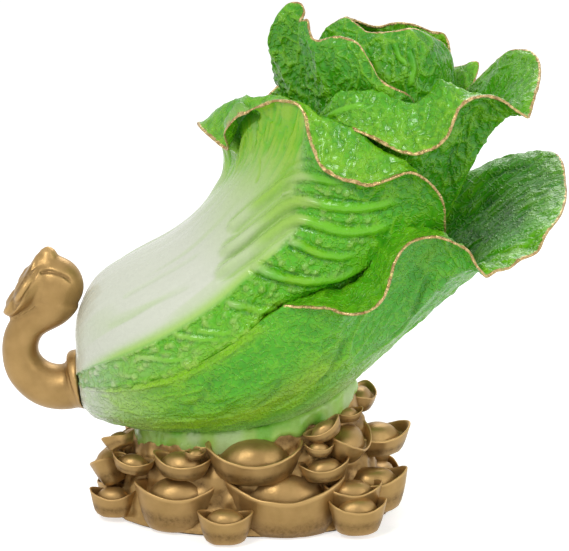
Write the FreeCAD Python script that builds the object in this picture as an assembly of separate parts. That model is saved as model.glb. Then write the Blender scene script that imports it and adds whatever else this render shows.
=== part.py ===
"""Cast resin cabbage ornament: a leaning cabbage with flared leaves, a curled
gold stem at its butt and a pile of gold ingots that carries its belly.

Lengths are millimetres. X runs from the butt to the flared leaves, -Y faces the
viewer and Z is up. The origin is the middle of the underside of the base."""
import FreeCAD
import Part
import math
import os

Vector = FreeCAD.Vector

# Cabbage body: circles carried along one rising arc, the spine
spine_radius = 158.0
spine_length = 245.0
spine_start_angle = 4.0
butt_x = -85.5
butt_height = 70.0
butt_radius = 14.0
body_radius = 60.0
belly_radius = 57.5
nose_length = 110.0
nose_power = 0.6
butt_lift = 36.0

# Leaves: walls, the gap between layers and the length of the solid stump
leaf_thickness = 4.0
rim_thickness = 2.6
seat_gap = 0.3
stump_gap = 1.6
stump_length = 95.0
least_flare = 18.0
shoulder_length = 112.0
outer_curl_share = 0.9
heart_curl_share = 0.4
steepest_flare = 3.0
least_curl = 6.0
plug_length = 12.0

# Base: the mound inside the pile, the pad under the belly and the ingots
base_half_length = 80.0
base_half_depth = 56.0
pile_height = 60.0
mound_half_length = 72.0
mound_half_depth = 42.0
mound_top_half_length = 52.0
mound_top_half_depth = 24.0
mound_height = 70.0
saddle_thickness = 5.0
ingot_length = 60.0
felt_thickness = 1.2
felt_inset = 3.0

# Pins that join the cabbage to its base
pin_diameter = 8.0
pin_fit = 0.1
pin_bottom = 12.0
pin_length = 50.0
pin_x_shares = (-0.50, -0.15)

# Curled stem: a tube of changing diameter in the XZ plane, with collar and head
stem_diameter = 18.5
stem_reach = 30.7
stem_rise = 51.6
stem_base_height = 68.5
knob_radius = 14.8
knob_half_width = 12.0
collar_radius = 15.5
collar_thickness = 7.0
collar_tilt = 12.0
collar_lip = 1.6
tenon_diameter = 12.0
tenon_length = 22.0
tenon_overlap = 6.0
head_length = 36.0
head_width = 30.0
head_wall = 4.2
head_offset = 15.4
head_drop = 7.9
head_slant = 31.0
scroll_diameter = 9.0
crest_height = 8.4
crest_width = 12.0
crest_tip_width = 2.0

# One ingot of unit length: a boat hull with raised ends, a hollow and a dome
hull_width_share = 0.60
hull_depth_share = 0.50
hull_taper = 11.0
end_rise_share = 0.12
rim_sag_share = 0.03
rim_wall_share = 0.045
hollow_depth_share = 0.15
dome_radius_share = 0.235
dome_top_share = 0.09

# Rim of each leaf. Every row holds the place across the leaf from its first edge
# to its second, the angle around the spine, the place along the spine as a share
# of spine_length, the distance from it as a share of body_radius, and the angle
# by which the rim is rolled outward. Angle 0 faces the viewer, 90 the upper left.
front_upper_rim_shares = (
    (0.00, 126, 0.66, 1.08, 50), (0.08, 112, 0.70, 1.30, 85), (0.15, 100, 0.715, 1.38, 100),
    (0.22, 88, 0.712, 1.22, 115), (0.27, 78, 0.715, 1.10, 125), (0.32, 71, 0.78, 1.22, 125),
    (0.38, 65.5, 0.847, 1.21, 115), (0.44, 60, 0.886, 1.145, 105), (0.50, 51, 0.927, 1.065, 95),
    (0.56, 40.6, 0.934, 1.01, 95), (0.61, 35, 0.913, 1.015, 95), (0.66, 30.7, 0.869, 1.045, 95),
    (0.70, 26.6, 0.839, 1.063, 100), (0.74, 21, 0.808, 1.09, 100), (0.78, 12.7, 0.797, 1.11, 100),
    (0.82, 6.4, 0.798, 1.123, 100), (0.86, -0.4, 0.80, 1.133, 95), (0.90, -7, 0.82, 1.155, 90),
    (0.935, -14.6, 0.841, 1.188, 85), (0.965, -23.8, 0.824, 1.185, 80), (0.985, -31, 0.80, 1.17, 70),
    (1.00, -38, 0.765, 1.12, 55))
front_lower_rim_shares = (
    (0.00, 6, 0.50, 1.0, 5), (0.03, 1, 0.515, 1.03, 40), (0.06, -2, 0.528, 1.067, 80),
    (0.08, -5, 0.541, 1.105, 90), (0.10, -8, 0.555, 1.15, 100), (0.12, -11.5, 0.563, 1.21, 105),
    (0.14, -15, 0.575, 1.26, 110), (0.16, -17.5, 0.592, 1.31, 115), (0.18, -19.2, 0.612, 1.34, 115),
    (0.195, -19.7, 0.63, 1.345, 110), (0.21, -20, 0.648, 1.313, 105), (0.225, -19.8, 0.67, 1.27, 100),
    (0.24, -20, 0.685, 1.22, 95), (0.255, -21, 0.706, 1.197, 90), (0.27, -23.5, 0.724, 1.182, 85),
    (0.285, -27, 0.736, 1.197, 85), (0.30, -31, 0.744, 1.23, 85), (0.32, -35, 0.746, 1.30, 90),
    (0.34, -37.7, 0.745, 1.39, 95), (0.36, -39.5, 0.742, 1.44, 100), (0.38, -41.5, 0.729, 1.505, 105),
    (0.395, -43.5, 0.722, 1.55, 105), (0.41, -45.5, 0.718, 1.57, 105), (0.43, -49, 0.727, 1.572, 100),
    (0.46, -54, 0.733, 1.592, 95), (0.49, -58.7, 0.745, 1.603, 90), (0.52, -64, 0.757, 1.66, 85),
    (0.56, -70, 0.778, 1.647, 80), (0.60, -77.5, 0.793, 1.678, 80), (0.65, -88, 0.809, 1.705, 80),
    (0.70, -97, 0.822, 1.723, 80), (0.75, -105.5, 0.836, 1.757, 75), (0.79, -111, 0.84, 1.773, 80),
    (0.83, -116, 0.836, 1.74, 85), (0.88, -124, 0.815, 1.60, 85), (0.92, -132, 0.78, 1.45, 80),
    (0.96, -142, 0.70, 1.25, 60), (1.00, -156, 0.60, 1.06, 20))
back_rim_shares = (
    (0.00, 203, 0.64, 1.08, 30), (0.10, 196, 0.71, 1.24, 70), (0.22, 187, 0.75, 1.36, 95),
    (0.34, 178, 0.74, 1.42, 105), (0.46, 168, 0.70, 1.36, 100), (0.58, 158, 0.70, 1.30, 90),
    (0.70, 148, 0.72, 1.30, 95), (0.82, 138, 0.70, 1.24, 90), (0.92, 133, 0.66, 1.12, 60),
    (1.00, 128, 0.62, 1.02, 25))
second_front_rim_shares = (
    (0.00, 38, 0.87, 0.835, 30), (0.06, 27, 0.897, 0.883, 70), (0.13, 16, 0.894, 0.915, 90),
    (0.20, 5.5, 0.889, 0.967, 100), (0.26, -2.5, 0.879, 1.012, 105), (0.31, -10, 0.871, 1.08, 110),
    (0.35, -15.6, 0.872, 1.142, 110), (0.38, -18.5, 0.88, 1.185, 110), (0.41, -21.8, 0.892, 1.238, 110),
    (0.44, -24.5, 0.912, 1.282, 110), (0.47, -26.6, 0.938, 1.287, 105), (0.50, -29.2, 0.955, 1.26, 100),
    (0.53, -34, 0.964, 1.245, 95), (0.56, -40, 0.966, 1.26, 95), (0.59, -44, 0.962, 1.30, 100),
    (0.62, -47.6, 0.953, 1.335, 105), (0.65, -51, 0.942, 1.383, 105), (0.68, -54.5, 0.933, 1.425, 105),
    (0.71, -57.5, 0.936, 1.412, 95), (0.75, -64, 0.955, 1.38, 85), (0.80, -75.5, 0.974, 1.348, 75),
    (0.84, -84, 0.987, 1.318, 70), (0.87, -91.5, 0.994, 1.257, 70), (0.90, -98.5, 0.992, 1.16, 65),
    (0.93, -104, 0.982, 1.107, 60), (0.96, -112, 0.96, 1.05, 50), (1.00, -123, 0.92, 0.96, 30))
second_back_rim_shares = (
    (0.00, 236, 0.89, 0.95, 30), (0.07, 229, 0.95, 1.20, 70), (0.14, 223, 0.945, 1.12, 75),
    (0.25, 208, 0.93, 1.15, 80), (0.38, 192, 0.94, 1.28, 95), (0.50, 175, 0.92, 1.20, 90),
    (0.62, 158, 0.93, 1.12, 85), (0.74, 140, 0.92, 1.14, 85), (0.86, 120, 0.88, 1.06, 60),
    (1.00, 98, 0.84, 0.95, 20))
heart_front_rim_shares = (
    (0.00, 128, 0.90, 0.80, -10), (0.08, 114, 0.935, 0.888, 0), (0.16, 99, 1.038, 0.858, -10),
    (0.22, 94.5, 1.072, 0.845, -20), (0.27, 92.5, 1.12, 0.757, -40), (0.31, 89, 1.15, 0.65, -50),
    (0.35, 84, 1.15, 0.55, -55), (0.38, 78.5, 1.13, 0.53, -45), (0.41, 70.8, 1.11, 0.607, -30),
    (0.44, 61, 1.115, 0.583, -30), (0.47, 54, 1.093, 0.625, -30), (0.50, 46.8, 1.072, 0.657, -30),
    (0.56, 29.5, 1.077, 0.65, -35), (0.62, 19.7, 1.074, 0.673, -35), (0.67, 12.7, 1.065, 0.70, -30),
    (0.71, 8.4, 1.05, 0.742, -25), (0.75, 5.3, 1.03, 0.77, -20), (0.79, 2.2, 1.01, 0.80, -15),
    (0.83, -0.8, 0.991, 0.80, -10), (0.87, -6, 0.978, 0.807, -10), (0.91, -12.6, 0.968, 0.80, -10),
    (0.95, -18.4, 0.957, 0.77, -15), (1.00, -25, 0.935, 0.743, -15))
heart_right_rim_shares = (
    (0.00, 72, 1.03, 0.50, -40), (0.10, 60, 1.076, 0.463, -50), (0.19, 52, 1.094, 0.38, -60),
    (0.28, 37, 1.10, 0.333, -65), (0.36, 21, 1.083, 0.322, -65), (0.43, 9, 1.067, 0.338, -60),
    (0.50, -8.4, 1.063, 0.37, -60), (0.58, -25, 1.062, 0.407, -60), (0.66, -41.5, 1.061, 0.445, -55),
    (0.72, -54.5, 1.052, 0.458, -50), (0.79, -74, 1.034, 0.488, -45), (0.88, -96, 1.01, 0.583, -30),
    (0.94, -110, 0.979, 0.678, -20), (1.00, -118, 0.93, 0.70, -10))
heart_back_rim_shares = (
    (0.00, 240, 0.95, 0.76, -10), (0.08, 231, 1.007, 0.80, 0), (0.15, 224, 1.02, 0.70, -20),
    (0.22, 217, 1.037, 0.567, -30), (0.30, 208, 1.047, 0.42, -40), (0.40, 192, 1.05, 0.25, -60),
    (0.55, 155, 1.066, 0.18, -70), (0.70, 125, 1.08, 0.20, -70), (0.82, 105, 1.085, 0.235, -60),
    (1.00, 82, 1.05, 0.42, -45))

# Each leaf: its two edges as angles where it leaves the stump or the butt, its
# depth in layers, whether it roots at the butt, how far it swells out below
# its rim at either edge as a share of body_radius, the bands that its inner face
# raises behind the rim (height, depth, and the stretch across), and its rim
LEAVES = {
    "front_upper_leaf": ((116.0, 8.5), 0, True, (0.0, 0.0),
                         ((23.0, 3.7, 0.33, 0.80), (14.0, 2.0, 0.20, 0.34)), front_upper_rim_shares),
    "front_lower_leaf": ((8.0, -160.0), 0, True, (0.0, 0.0), ((2.0, 7.0, 0.12, 0.24),), front_lower_rim_shares),
    "back_leaf": ((199.5, 116.5), 0, True, (0.0, 0.0), (), back_rim_shares),
    "second_front_leaf": ((40.0, -123.5), 2.6, False, (-0.02, 0.0), ((20.0, 2.2, 0.10, 0.45),),
                          second_front_rim_shares),
    "second_back_leaf": ((236.0, 80.0), 2.5, False, (0.0, 0.0), (), second_back_rim_shares),
    "heart_front_leaf": ((125.0, -30.0), 3.8, False, (-0.06, -0.09), (), heart_front_rim_shares),
    "heart_right_leaf": ((70.0, -114.5), 5.5, False, (-0.06, 0.05), (), heart_right_rim_shares),
    "heart_back_leaf": ((245.0, 76.0), 5.5, False, (0.03, 0.02), (), heart_back_rim_shares),
}
band_fade_share = 0.12
band_lateness = 4

# Ribs that stand out of a leaf's outer face: height, half width and the places that
# each passes, across the leaf and up its rise
RIBS = {
    "front_upper_leaf": (
        (1.6, 2.2, ((0.64, 1.27), (0.64, 1.46), (0.66, 1.55), (0.70, 1.64), (0.79, 1.86), (0.83, 1.90))),
        (1.7, 2.3, ((0.70, 1.24), (0.71, 1.38), (0.73, 1.51), (0.81, 1.62), (0.87, 1.66), (0.93, 1.68))),
        (1.7, 2.3, ((0.73, 1.18), (0.74, 1.34), (0.77, 1.48), (0.83, 1.52), (0.88, 1.52), (0.94, 1.52))),
        (1.7, 2.3, ((0.81, 0.95), (0.79, 1.20), (0.78, 1.35), (0.81, 1.43), (0.88, 1.46), (0.94, 1.47))),
        (1.3, 1.9, ((0.82, 1.12), (0.85, 1.19), (0.90, 1.21), (0.95, 1.24)))),
    "second_back_leaf": (
        (2.0, 3.4, ((0.50, 1.05), (0.50, 1.45), (0.49, 1.92))),
        (1.6, 3.0, ((0.50, 1.20), (0.40, 1.50), (0.30, 1.88))),
        (1.6, 3.0, ((0.50, 1.25), (0.61, 1.55), (0.70, 1.88))),
        (1.4, 2.8, ((0.42, 1.15), (0.28, 1.40), (0.17, 1.75)))),
    "back_leaf": (
        (2.0, 3.2, ((0.52, 1.00), (0.50, 1.45), (0.46, 1.92))),
        (1.6, 2.8, ((0.51, 1.10), (0.36, 1.50), (0.24, 1.85))),
        (1.6, 2.8, ((0.51, 1.15), (0.66, 1.52), (0.74, 1.85)))),
}
rib_end_share = 0.5
rib_reach = 3.0
rib_runs = 4

# The pale stalk of the front upper leaf stands proud of the blade below it
stalk_step = 1.1
stalk_edge_share = 0.822
stalk_fade_share = 0.02
stalk_first_rise = 0.1
stalk_last_rise = 1.25
stalk_rise_fade = 0.2
tuck_start_share = 0.88
tuck_end_share = 0.95
tuck_length = 14.0

# Ingots of the pile: place in the base as shares of its half length, half depth
# and height, size as a share of ingot_length, turn about Z, nod and lean
INGOTS = (
    (-0.87, -0.30, 0.25, 0.40, -5, 0, 0), (-0.45, -0.50, 0.37, 0.73, 3, 0, 0),
    (-0.15, -0.86, 0.25, 0.46, -4, 0, 0), (-0.73, -0.42, 0.59, 0.37, -10, 0, 8),
    (-0.91, -0.12, 0.52, 0.42, 75, -40, 0), (-0.83, -0.30, 0.77, 0.25, 40, -35, 0),
    (-0.42, -0.56, 0.64, 0.50, -8, 0, 4), (-0.335, -0.63, 0.73, 0.20, 30, 0, 0),
    (0.03, -0.55, 0.71, 0.82, 4, 4, 0), (0.21, -0.50, 0.39, 1.03, 0, 0, 0),
    (0.46, -0.60, 0.61, 0.43, 8, 0, -6), (0.43, -0.60, 0.77, 0.25, 0, 0, 0),
    (0.45, -0.55, 0.92, 0.34, 10, 0, -28), (0.62, -0.32, 0.77, 0.62, 72, 18, 0),
    (0.80, 0.02, 0.69, 0.62, 20, 0, 0), (0.77, -0.32, 0.41, 0.60, 0, 0, -4),
    (0.67, -0.68, 0.28, 0.49, 8, 0, 0), (0.64, -0.55, 0.39, 0.50, 5, 0, 0),
    (0.61, -0.22, 0.95, 0.28, 20, 0, 0), (-0.78, 0.28, 0.32, 0.52, 30, 0, 0),
    (-0.46, 0.52, 0.37, 0.74, -8, 0, 0), (-0.68, 0.40, 0.60, 0.40, 18, 0, 6),
    (-0.18, 0.86, 0.25, 0.48, 5, 0, 0), (-0.28, 0.56, 0.65, 0.56, 10, 0, 0),
    (0.12, 0.52, 0.42, 0.95, -5, 0, 0), (0.16, 0.56, 0.72, 0.60, 2, 0, 0),
    (0.42, 0.80, 0.27, 0.46, -10, 0, 0), (0.48, 0.58, 0.64, 0.50, -15, 0, -6),
    (0.70, 0.46, 0.40, 0.60, -25, 0, 0), (0.58, 0.50, 0.86, 0.36, -20, 0, -12),
    (0.84, 0.16, 0.30, 0.50, 80, 0, 0), (0.70, 0.20, 0.98, 0.44, 75, 0, 0),
    (-0.88, 0.06, 0.26, 0.46, 85, 0, 0), (-0.76, 0.12, 0.62, 0.44, 70, 0, 0))


def smooth(share):
    """Ease from 0 to 1 with a level start and end."""
    share = min(1.0, max(0.0, share))
    return share * share * (3.0 - 2.0 * share)


def spine_at(length):
    """Point of the spine and its direction, at a length from the butt."""
    start = math.radians(spine_start_angle)
    angle = start + length / spine_radius
    x = butt_x + spine_radius * (math.sin(angle) - math.sin(start))
    z = butt_height - spine_radius * (math.cos(angle) - math.cos(start))
    return Vector(x, 0, z), Vector(math.cos(angle), 0, math.sin(angle))


def around(length, toward, up_left):
    """Point beside the spine, from its offsets toward the viewer and to the upper left."""
    point, direction = spine_at(length)
    return point + Vector(0, -1, 0) * toward + Vector(-direction.z, 0, direction.x) * up_left


def bluntness(length):
    rest = 1.0 - min(1.0, max(0.0, length / nose_length))
    return (1.0 - rest * rest) ** nose_power, rest


def section(length):
    """Radius of the body's round section and how far its middle lies above the spine."""
    blunt, rest = bluntness(length)
    radius = butt_radius + (belly_radius - butt_radius) * blunt
    return radius, butt_lift * blunt * rest * rest


def body_reach(length, angle, inset):
    """Distance from the spine to the body's surface, drawn in by the inset."""
    radius, lift = section(length)
    radius = radius - inset
    side = lift * math.cos(angle)
    return lift * math.sin(angle) + math.sqrt(radius * radius - side * side)


def through_rows(rows, column, place):
    """Smooth curve through one column of a rim table."""
    index = 0
    while index < len(rows) - 2 and place > rows[index + 1][0]:
        index = index + 1
    first, second = rows[index], rows[index + 1]
    before = rows[index - 1] if index > 0 else first
    after = rows[index + 2] if index + 2 < len(rows) else second
    span = second[0] - first[0]
    step = (place - first[0]) / span
    slope_in = (second[column] - before[column]) / (second[0] - before[0]) * span
    slope_out = (after[column] - first[column]) / (after[0] - first[0]) * span
    return blend(first[column], slope_in, second[column], slope_out, step)


def blend(start, start_slope, end, end_slope, step):
    """Cubic between two values with the given slopes."""
    square = step * step
    cube = square * step
    return (start * (2 * cube - 3 * square + 1) + start_slope * (cube - 2 * square + step)
            + end * (3 * square - 2 * cube) + end_slope * (cube - square))


def leaf_point(leaf, across, rise):
    """Outer surface: rise 0 to 1 follows the body, 1 to 2 the flare up to the rim."""
    edges, layer, at_butt, swells, bands, rim = leaf
    angle = math.radians(edges[0] + (edges[1] - edges[0]) * across)
    start = 0.0 if at_butt else stump_length + seat_gap
    rim_angle = math.radians(through_rows(rim, 1, across))
    rim_length = spine_length * through_rows(rim, 2, across)
    rim_reach = body_radius * through_rows(rim, 3, across)
    roll = math.radians(through_rows(rim, 4, across))
    shoulder = min(max(shoulder_length, start + least_flare), rim_length - least_flare)
    tuck = smooth((across - tuck_start_share) / (tuck_end_share - tuck_start_share))
    tucked = tuck if leaf is LEAVES["front_upper_leaf"] else 0.0

    def inset_at(length):
        drop = tucked * smooth((length - stump_length) / tuck_length)
        return (layer + drop) * (leaf_thickness + seat_gap)

    if rise <= 1.0:
        length = start + (shoulder - start) * rise
        reach = body_reach(length, angle, inset_at(length))
        return around(length, reach * math.cos(angle), reach * math.sin(angle))
    step = rise - 1.0
    reach = body_reach(shoulder, angle, inset_at(shoulder + tuck_length))
    reach_now = body_reach(shoulder, angle, inset_at(shoulder))
    chord = math.hypot(rim_length - shoulder, rim_reach - reach)
    curl = chord * (outer_curl_share if roll > 0 else heart_curl_share)
    most_out = steepest_flare * max(0.0, rim_reach - reach) + least_curl
    exit_along, exit_out = curl * math.cos(roll), min(most_out, curl * math.sin(roll))
    length = blend(shoulder, chord, rim_length, exit_along, step)
    toward = blend(reach_now * math.cos(angle), (reach - reach_now) * math.cos(angle),
                   rim_reach * math.cos(rim_angle), exit_out * math.cos(rim_angle), step)
    up_left = blend(reach_now * math.sin(angle), (reach - reach_now) * math.sin(angle),
                    rim_reach * math.sin(rim_angle), exit_out * math.sin(rim_angle), step)
    swell = swells[0] + (swells[1] - swells[0]) * across
    swell = body_radius * swell * math.sin(math.pi * step) ** 2
    return around(length, toward + swell * math.cos(angle), up_left + swell * math.sin(angle))


def leaf_normal(leaf, across, rise):
    """Unit normal that points away from the spine on the leaf's outer face."""
    nudge = 0.002
    low, high = max(0.0, across - nudge), min(1.0, across + nudge)
    below, above = max(0.0, rise - nudge), min(2.0, rise + nudge)
    over = leaf_point(leaf, high, rise) - leaf_point(leaf, low, rise)
    along = leaf_point(leaf, across, above) - leaf_point(leaf, across, below)
    normal = over.cross(along)
    normal.normalize()
    return normal


def rib_lines(name):
    """Lines of a leaf's ribs on its outer face, as short runs of points."""
    leaf = LEAVES[name]
    lines = []
    for height, half_width, places in RIBS.get(name, ()):
        line = []
        for first, second in zip(places, places[1:]):
            for run in range(rib_runs):
                share = run / rib_runs
                line.append(leaf_point(leaf, first[0] + (second[0] - first[0]) * share,
                                       first[1] + (second[1] - first[1]) * share))
        line.append(leaf_point(leaf, places[-1][0], places[-1][1]))
        lines.append((height, half_width, line))
    return lines


def distance_to_run(point, first, second):
    """Distance of a point from the straight run between two points."""
    run = second - first
    share = min(1.0, max(0.0, (point - first).dot(run) / run.dot(run)))
    return (point - first - run * share).Length


def relief(name, point, across, rise, lines):
    """How far the outer face stands out for the ribs and the stalk."""
    lift = 0.0
    for height, half_width, line in lines:
        runs = [(distance_to_run(point, first, second), index)
                for index, (first, second) in enumerate(zip(line, line[1:]))]
        away, index = min(runs)
        if away < half_width * rib_reach:
            taper = 1.0 - (1.0 - rib_end_share) * index / len(runs)
            lift = max(lift, height * taper * math.exp(-(away / (half_width * taper)) ** 2))
    if name == "front_upper_leaf":
        inside = 1.0 - smooth((across - stalk_edge_share) / stalk_fade_share)
        inside = inside * smooth((rise - stalk_first_rise) / stalk_rise_fade)
        lift = lift + stalk_step * inside * (1.0 - smooth((rise - stalk_last_rise) / stalk_rise_fade))
    return lift


surface_degree = 3


def clamped_knots(count):
    """Knots and their multiplicities for a curve that starts and ends at its outer poles."""
    knots = list(range(count - surface_degree + 1))
    repeats = [surface_degree + 1] + [1] * (len(knots) - 2) + [surface_degree + 1]
    return knots, repeats


def band_push(leaf, across, rise):
    """How far the inner face is moved up and inward to make the bands behind the rim."""
    push = Vector(0, 0, 0)
    if not leaf[4] or rise <= 1.0:
        return push
    rim_angle = math.radians(through_rows(leaf[5], 1, across))
    rim_length = spine_length * through_rows(leaf[5], 2, across)
    direction = spine_at(rim_length)[1]
    outward = around(rim_length, math.cos(rim_angle), math.sin(rim_angle)) - spine_at(rim_length)[0]
    along = math.sin(math.pi * (rise - 1.0) ** band_lateness) ** 2
    for height, depth, first, last in leaf[4]:
        start_fade = smooth((across - first) / band_fade_share + 1.0)
        end_fade = smooth((last - across) / band_fade_share + 1.0)
        push = push + (direction * height - outward * depth) * start_fade * end_fade * along
    return push


def surface_over(grid):
    """Smooth surface that follows a grid of points."""
    row_knots, row_repeats = clamped_knots(len(grid))
    column_knots, column_repeats = clamped_knots(len(grid[0]))
    surface = Part.BSplineSurface()
    surface.buildFromPolesMultsKnots(grid, row_repeats, column_repeats, row_knots, column_knots,
                                     False, False, surface_degree, surface_degree)
    return surface


def solid_between(outer, inner):
    """Closed solid between two surfaces, with ruled walls along their four borders."""
    faces = [outer.toShape(), inner.toShape()]
    u_low, u_high, v_low, v_high = outer.bounds()
    for curve in ("uIso", "vIso"):
        for at in ((u_low, u_high) if curve == "uIso" else (v_low, v_high)):
            edges = [getattr(side, curve)(at).toShape() for side in (outer, inner)]
            faces.append(Part.makeRuledSurface(edges[0], edges[1]))
    shell = Part.makeShell(faces)
    shell.sewShape()
    solid = Part.Solid(shell if shell.ShapeType == "Shell" else shell.Shells[0])
    if solid.Volume < 0:
        solid.reverse()
    return solid


body_row_count = 24
body_row_crowding = 2.0
flare_row_count = 20
flare_row_crowding = 1.5
least_columns = 24
columns_per_rim_row = 2
ribbed_flare_row_count = 60
ribbed_columns = 80


def leaf_rises(flare_rows):
    """Rows of a leaf's grid, crowded where the body is blunt and towards the rim."""
    body = [(row / body_row_count) ** body_row_crowding for row in range(body_row_count)]
    flare = [2.0 - (1.0 - row / flare_rows) ** flare_row_crowding for row in range(flare_rows + 1)]
    return body + flare


def leaf_solid(name):
    """Wall of one leaf, with its ribs on the outer face."""
    leaf, lines = LEAVES[name], rib_lines(name)
    columns = ribbed_columns if lines else max(least_columns, columns_per_rim_row * len(leaf[5]))
    outer_grid, inner_grid = [], []
    for rise in leaf_rises(ribbed_flare_row_count if lines else flare_row_count):
        outer_line, inner_line = [], []
        wall = leaf_thickness + (rim_thickness - leaf_thickness) * smooth(rise - 1.0)
        for column in range(columns + 1):
            across = column / columns
            point, normal = leaf_point(leaf, across, rise), leaf_normal(leaf, across, rise)
            outer_line.append(point + normal * relief(name, point, across, rise, lines))
            inner_line.append(point - normal * wall + band_push(leaf, across, rise))
        outer_grid.append(outer_line)
        inner_grid.append(inner_line)
    return solid_between(surface_over(outer_grid), surface_over(inner_grid))


def ring_wire(length, radius, lift):
    """Circle square to the spine, its middle raised by the lift."""
    point, direction = spine_at(length)
    middle = point + Vector(-direction.z, 0, direction.x) * lift
    tilt = math.degrees(math.atan2(direction.x, direction.z))
    circle = Part.Wire([Part.makeCircle(radius)])
    circle.Placement = FreeCAD.Placement(middle, FreeCAD.Rotation(Vector(0, 1, 0), tilt))
    return circle


body_section_shares = (0.0, 0.008, 0.03, 0.06, 0.10, 0.15, 0.21, 0.29, 0.38, 0.5, 0.62, 0.75, 0.88,
                       1.0, 1.3)


def body_solid(offset, last_length):
    """Solid of the round body, its skin moved outward by the offset."""
    wires = []
    for share in body_section_shares:
        length = nose_length * share
        nudge = nose_length / 1000
        slope = (section(length + nudge)[0] - section(length)[0]) / nudge
        lean = math.atan(slope)
        radius, lift = section(length)
        moved = length - offset * math.sin(lean)
        if moved < last_length:
            wires.append(ring_wire(moved, radius + offset * math.cos(lean), lift))
    radius, lift = section(last_length)
    wires.append(ring_wire(last_length, radius + offset, lift))
    return Part.makeLoft(wires, True)


column_layers = 6.6
column_shares = ((0.0, 1.0), (0.35, 0.97), (0.62, 0.90), (0.80, 0.76), (0.90, 0.58), (0.97, 0.36),
                 (1.0, 0.15))
column_gap = 1.2
column_end_share = 0.985


def cabbage_core():
    """Solid stump that the outer leaves wrap, and the column inside the heart."""
    stump = body_solid(-leaf_thickness - stump_gap, stump_length)
    root, direction = spine_at(0)
    plug = Part.makeCylinder(butt_radius - leaf_thickness - seat_gap, plug_length, root, direction)
    radius = section(stump_length)[0] - column_layers * (leaf_thickness + seat_gap) - column_gap
    reach = spine_length * column_end_share - stump_length
    wires = [ring_wire(stump_length + reach * along, radius * wide, 0) for along, wide in column_shares]
    return stump.fuse(plug).fuse(Part.makeLoft(wires, True)).removeSplitter()


def ellipse_wire(half_length, half_depth, height):
    ellipse = Part.Ellipse(Vector(0, 0, height), half_length, half_depth)
    return Part.Wire([ellipse.toShape()])


def mound_form():
    """Tapered filler that the ingots are heaped against."""
    low = ellipse_wire(mound_half_length, mound_half_depth, felt_thickness)
    high = ellipse_wire(mound_top_half_length, mound_top_half_depth, mound_height)
    return Part.makeLoft([low, high], True, True)


def felt_pad():
    low = ellipse_wire(mound_half_length - felt_inset, mound_half_depth - felt_inset, 0)
    high = ellipse_wire(mound_half_length - felt_inset, mound_half_depth - felt_inset, felt_thickness)
    return Part.makeLoft([low, high], True, True)


def pin_at(share, radius):
    return Part.makeCylinder(radius, pin_length, Vector(base_half_length * share, 0, pin_bottom))


unit_reach = 2.0
air_height_share = 1.2
hollow_end_share = 1.6
dome_end_share = 2.0
dome_side_share = 1.5


def boat(half_length, half_width, low):
    """Pointed oval column whose two round sides lean in towards its foot."""
    radius = (half_length * half_length + half_width * half_width) / (2 * half_width)
    sides = []
    for side in (-1, 1):
        wall = Part.makeCylinder(radius, unit_reach * 2, Vector(0, 0, -unit_reach))
        wall.rotate(Vector(0, 0, 0), Vector(1, 0, 0), hull_taper * side)
        wall.translate(Vector(0, (radius - half_width) * side, 0))
        sides.append(wall)
    return sides[0].common(sides[1]).cut(unit_slab(low - unit_reach))


def unit_slab(bottom):
    """Slab much wider than a unit ingot, from the height given upward."""
    corner = Vector(-unit_reach, -unit_reach, bottom)
    return Part.makeBox(unit_reach * 2, unit_reach * 2, unit_reach, corner)


def ingot_form():
    """Boat hull of unit length: raised ends, a hollow and the dome in it."""
    half = 1.0 / 2
    side = hull_width_share / 2
    arc_radius = (half * half + end_rise_share * end_rise_share) / (2 * end_rise_share)
    hull = boat(half, side, -hull_depth_share)
    air = unit_slab(end_rise_share * air_height_share)
    sag = Part.makeCylinder(arc_radius, unit_reach, Vector(0, -unit_reach / 2, arc_radius - rim_sag_share),
                            Vector(0, 1, 0))
    hollow = boat(half - rim_wall_share * hollow_end_share, side - rim_wall_share, -hollow_depth_share)
    keep = boat(half - rim_wall_share * dome_end_share, side - rim_wall_share * dome_side_share,
                -hollow_depth_share * dome_side_share)
    dome = Part.makeSphere(dome_radius_share, Vector(0, 0, dome_top_share - dome_radius_share))
    return hull.cut(air).cut(sag).cut(hollow).fuse(dome.common(keep))


def placed_ingot(form, row):
    x_share, y_share, z_share, size_share, turn, nod, lean = row
    shape = form.copy()
    shape.scale(ingot_length * size_share)
    turning = FreeCAD.Rotation(turn, lean, nod)
    place = Vector(base_half_length * x_share, base_half_depth * y_share, pile_height * z_share)
    shape.Placement = FreeCAD.Placement(place, turning)
    return shape


def largest_solid(shape):
    return max(shape.Solids, key=lambda solid: solid.Volume)


def ingot_pile(fillers):
    """Ingots cut by the floor line, by what they lean on and by those laid before."""
    form = ingot_form()
    corner = Vector(-base_half_length * 2, -base_half_depth * 2, felt_thickness - pile_height)
    floor = Part.makeBox(base_half_length * 4, base_half_depth * 4, pile_height, corner)
    laid = []
    for row in INGOTS:
        shape = placed_ingot(form, row)
        for other in fillers + [floor] + laid:
            if shape.BoundBox.intersect(other.BoundBox):
                shape = shape.cut(other)
        laid.append(largest_solid(shape))
    return laid


# Middle line of the stem: distance left of the butt as a share of stem_reach,
# height above the collar as a share of stem_rise, diameter as a share of stem_diameter
stem_rows = ((0.00, 0.00, 1.24), (-0.14, -0.035, 1.25), (-0.42, -0.05, 1.25), (-0.72, 0.02, 1.18),
             (-0.93, 0.165, 1.08), (-1.00, 0.34, 1.01), (-0.94, 0.50, 0.98), (-0.79, 0.625, 0.97),
             (-0.58, 0.71, 1.04), (-0.42, 0.79, 1.15), (-0.35, 0.88, 1.26))


def stem_point(row):
    return Vector(butt_x + stem_reach * row[0], 0, stem_base_height + stem_rise * row[1])


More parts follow.
